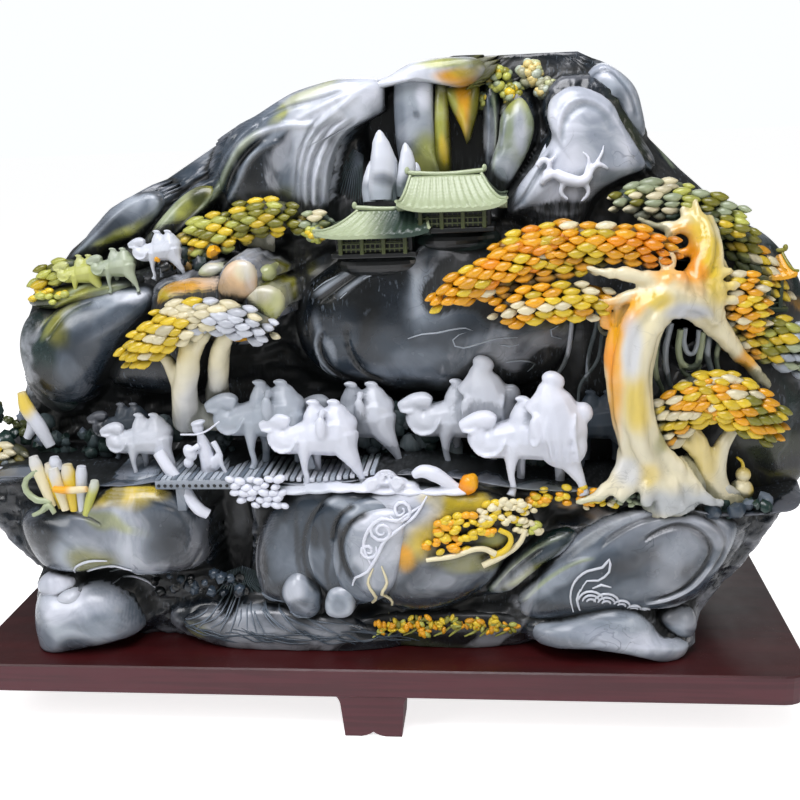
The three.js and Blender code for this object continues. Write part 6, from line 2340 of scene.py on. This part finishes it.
@dataclass(frozen=True)
class Studio:
    """A pale floor, soft lights and the camera."""

    camera_mm: Spot = (134.7, -994.1, 582.7)
    yaw: float = 6.43
    pitch: float = 16.02
    roll: float = -2.53
    lens: float = 45

    def aim(self) -> Matrix:
        """The camera's turn: its right, its up and its backward direction as columns."""
        yaw, pitch, roll = (math.radians(angle) for angle in (self.yaw, self.pitch, self.roll))
        ahead = Vector((-math.sin(yaw) * math.cos(pitch), math.cos(yaw) * math.cos(pitch), -math.sin(pitch)))
        right = Vector((math.cos(yaw), math.sin(yaw), 0))
        up = right.cross(ahead)
        level_right = right * math.cos(roll) + up * math.sin(roll)
        level_up = up * math.cos(roll) - right * math.sin(roll)
        return Matrix((level_right, level_up, -ahead)).transposed().to_4x4()

    def light(self, name: str, place: Spot, size: float, power: float, tint: str = "FFFFFF") -> None:
        """Adds a soft square light that points at the carving.

        Args:
            name: its name.
            place: where it hangs, in metres.
            size: its width in metres.
            power: its power in watts.
            tint: its colour.
        """
        data = bpy.data.lights.new(name, "AREA")
        data.size = size
        data.energy = power
        data.color = tuple(linear(tint))
        lamp = bpy.data.objects.new(name, data)
        bpy.context.collection.objects.link(lamp)
        lamp.location = place
        lamp.rotation_euler = (Vector((0, 0, 0.3)) - Vector(place)).to_track_quat("-Z", "Y").to_euler()

    def build(self) -> None:
        """Builds the floor, the lights and the camera."""
        bpy.ops.object.select_all(action="DESELECT")
        bpy.ops.mesh.primitive_plane_add(size=40, location=(0, 0, -0.0005))
        floor = bpy.context.object
        floor.name = "floor"
        paper = bpy.data.materials.new("floor_paper")
        paper.use_nodes = True
        wired = Nodes(paper.node_tree)
        direct = wired.add("ShaderNodeLightPath").outputs["Is Camera Ray"]
        glow = wired.math("ADD", 0.25, wired.math("MULTIPLY", direct, 0.55))
        surface = wired.add(
            "ShaderNodeBsdfPrincipled",
            {
                "Base Color": (0.9, 0.9, 0.9, 1), "Roughness": 0.7, "Emission Color": (1, 1, 1, 1),
                "Emission Strength": glow,
            },
        )
        wired.add("ShaderNodeOutputMaterial", {"Surface": surface.outputs[0]})
        floor.data.materials.append(paper)
        self.light("overhead", (-0.1, -0.7, 1.8), 1.1, 28, "FAFAFF")
        self.light("front_left", (-1.5, -1.3, 1.4), 0.8, 10)
        self.light("front_right", (1.7, -1.1, 1.0), 0.8, 4, "FFF6EC")
        self.light("behind", (0.2, 1.6, 1.5), 1.2, 8)
        world = bpy.data.worlds.new("studio")
        world.use_nodes = True
        sky = Nodes(world.node_tree)
        seen = sky.add("ShaderNodeLightPath").outputs["Is Camera Ray"]
        strength = sky.math("ADD", 0.22, sky.math("MULTIPLY", seen, 0.8))
        back = sky.add("ShaderNodeBackground", {"Color": (0.96, 0.98, 1, 1), "Strength": strength})
        sky.add("ShaderNodeOutputWorld", {"Surface": back.outputs[0]})
        scene = bpy.context.scene
        scene.world = world
        scene.view_settings.view_transform = "Standard"
        data = bpy.data.cameras.new("viewpoint")
        data.lens = self.lens
        data.sensor_width = 36
        camera = bpy.data.objects.new("viewpoint", data)
        bpy.context.collection.objects.link(camera)
        camera.matrix_world = Matrix.Translation(Vector(self.camera_mm) * MM) @ self.aim()
        scene.camera = camera


# How strongly these pieces take the painted recess shade and edge highlight.
SHALLOW = {"cave_pillars": 0.3, "mountain_boulders": 0.6, "upper_boulders": 0.85}


def main() -> None:
    """Builds and dresses the whole carving."""
    logging.basicConfig(level=logging.INFO, format="%(message)s")
    Studio().build()
    Stand().dress()
    rock = CarvedStone("polished_rock").make()
    figure = CarvedStone(
        "figure_stone", Tone.SLATE, depth=0.5, edge_highlight=0.12, flecks=0.0, strength=0.2, veins=0.1, gloss=0.32,
        coat=0.12, pits=0.5,
    ).make()
    wood = CarvedStone(
        "trunk_stone", Tone.MOSS, depth=0.6, edge_highlight=0.05, flecks=0.1, strength=0.2, veins=0.2, gloss=0.22,
        coat=0.25, pits=0.2,
    ).make()
    leaf = CarvedStone(
        "leaf_stone", Tone.PINE, depth=0.8, edge_highlight=0.0, flecks=0.0, strength=0.0, veins=0.0, gloss=0.28,
        coat=0.15, pits=0.3,
    ).make()
    finished = [(Block().build(), rock)]
    finished += [(piece, rock) for piece in Boulders().build()]
    finished += [(piece, figure) for piece in Caravan().build()]
    finished += [(hall.build(name), leaf) for name, hall in PAVILIONS.items()]
    finished += [(piece, leaf) for piece in (*Summit().build(), *LedgeWork().build())]
    finished += [(trunk.build(), wood) for trunk in TRUNKS]
    finished += [(piece, leaf) for piece in Foliage().build()]
    cutting = Cutting(piece for piece, _ in finished)
    for piece, material in finished:
        cutting.mark(piece, SHALLOW.get(piece.name, 1))
        seat(piece, material)


if __name__ == "__main__":
    main()
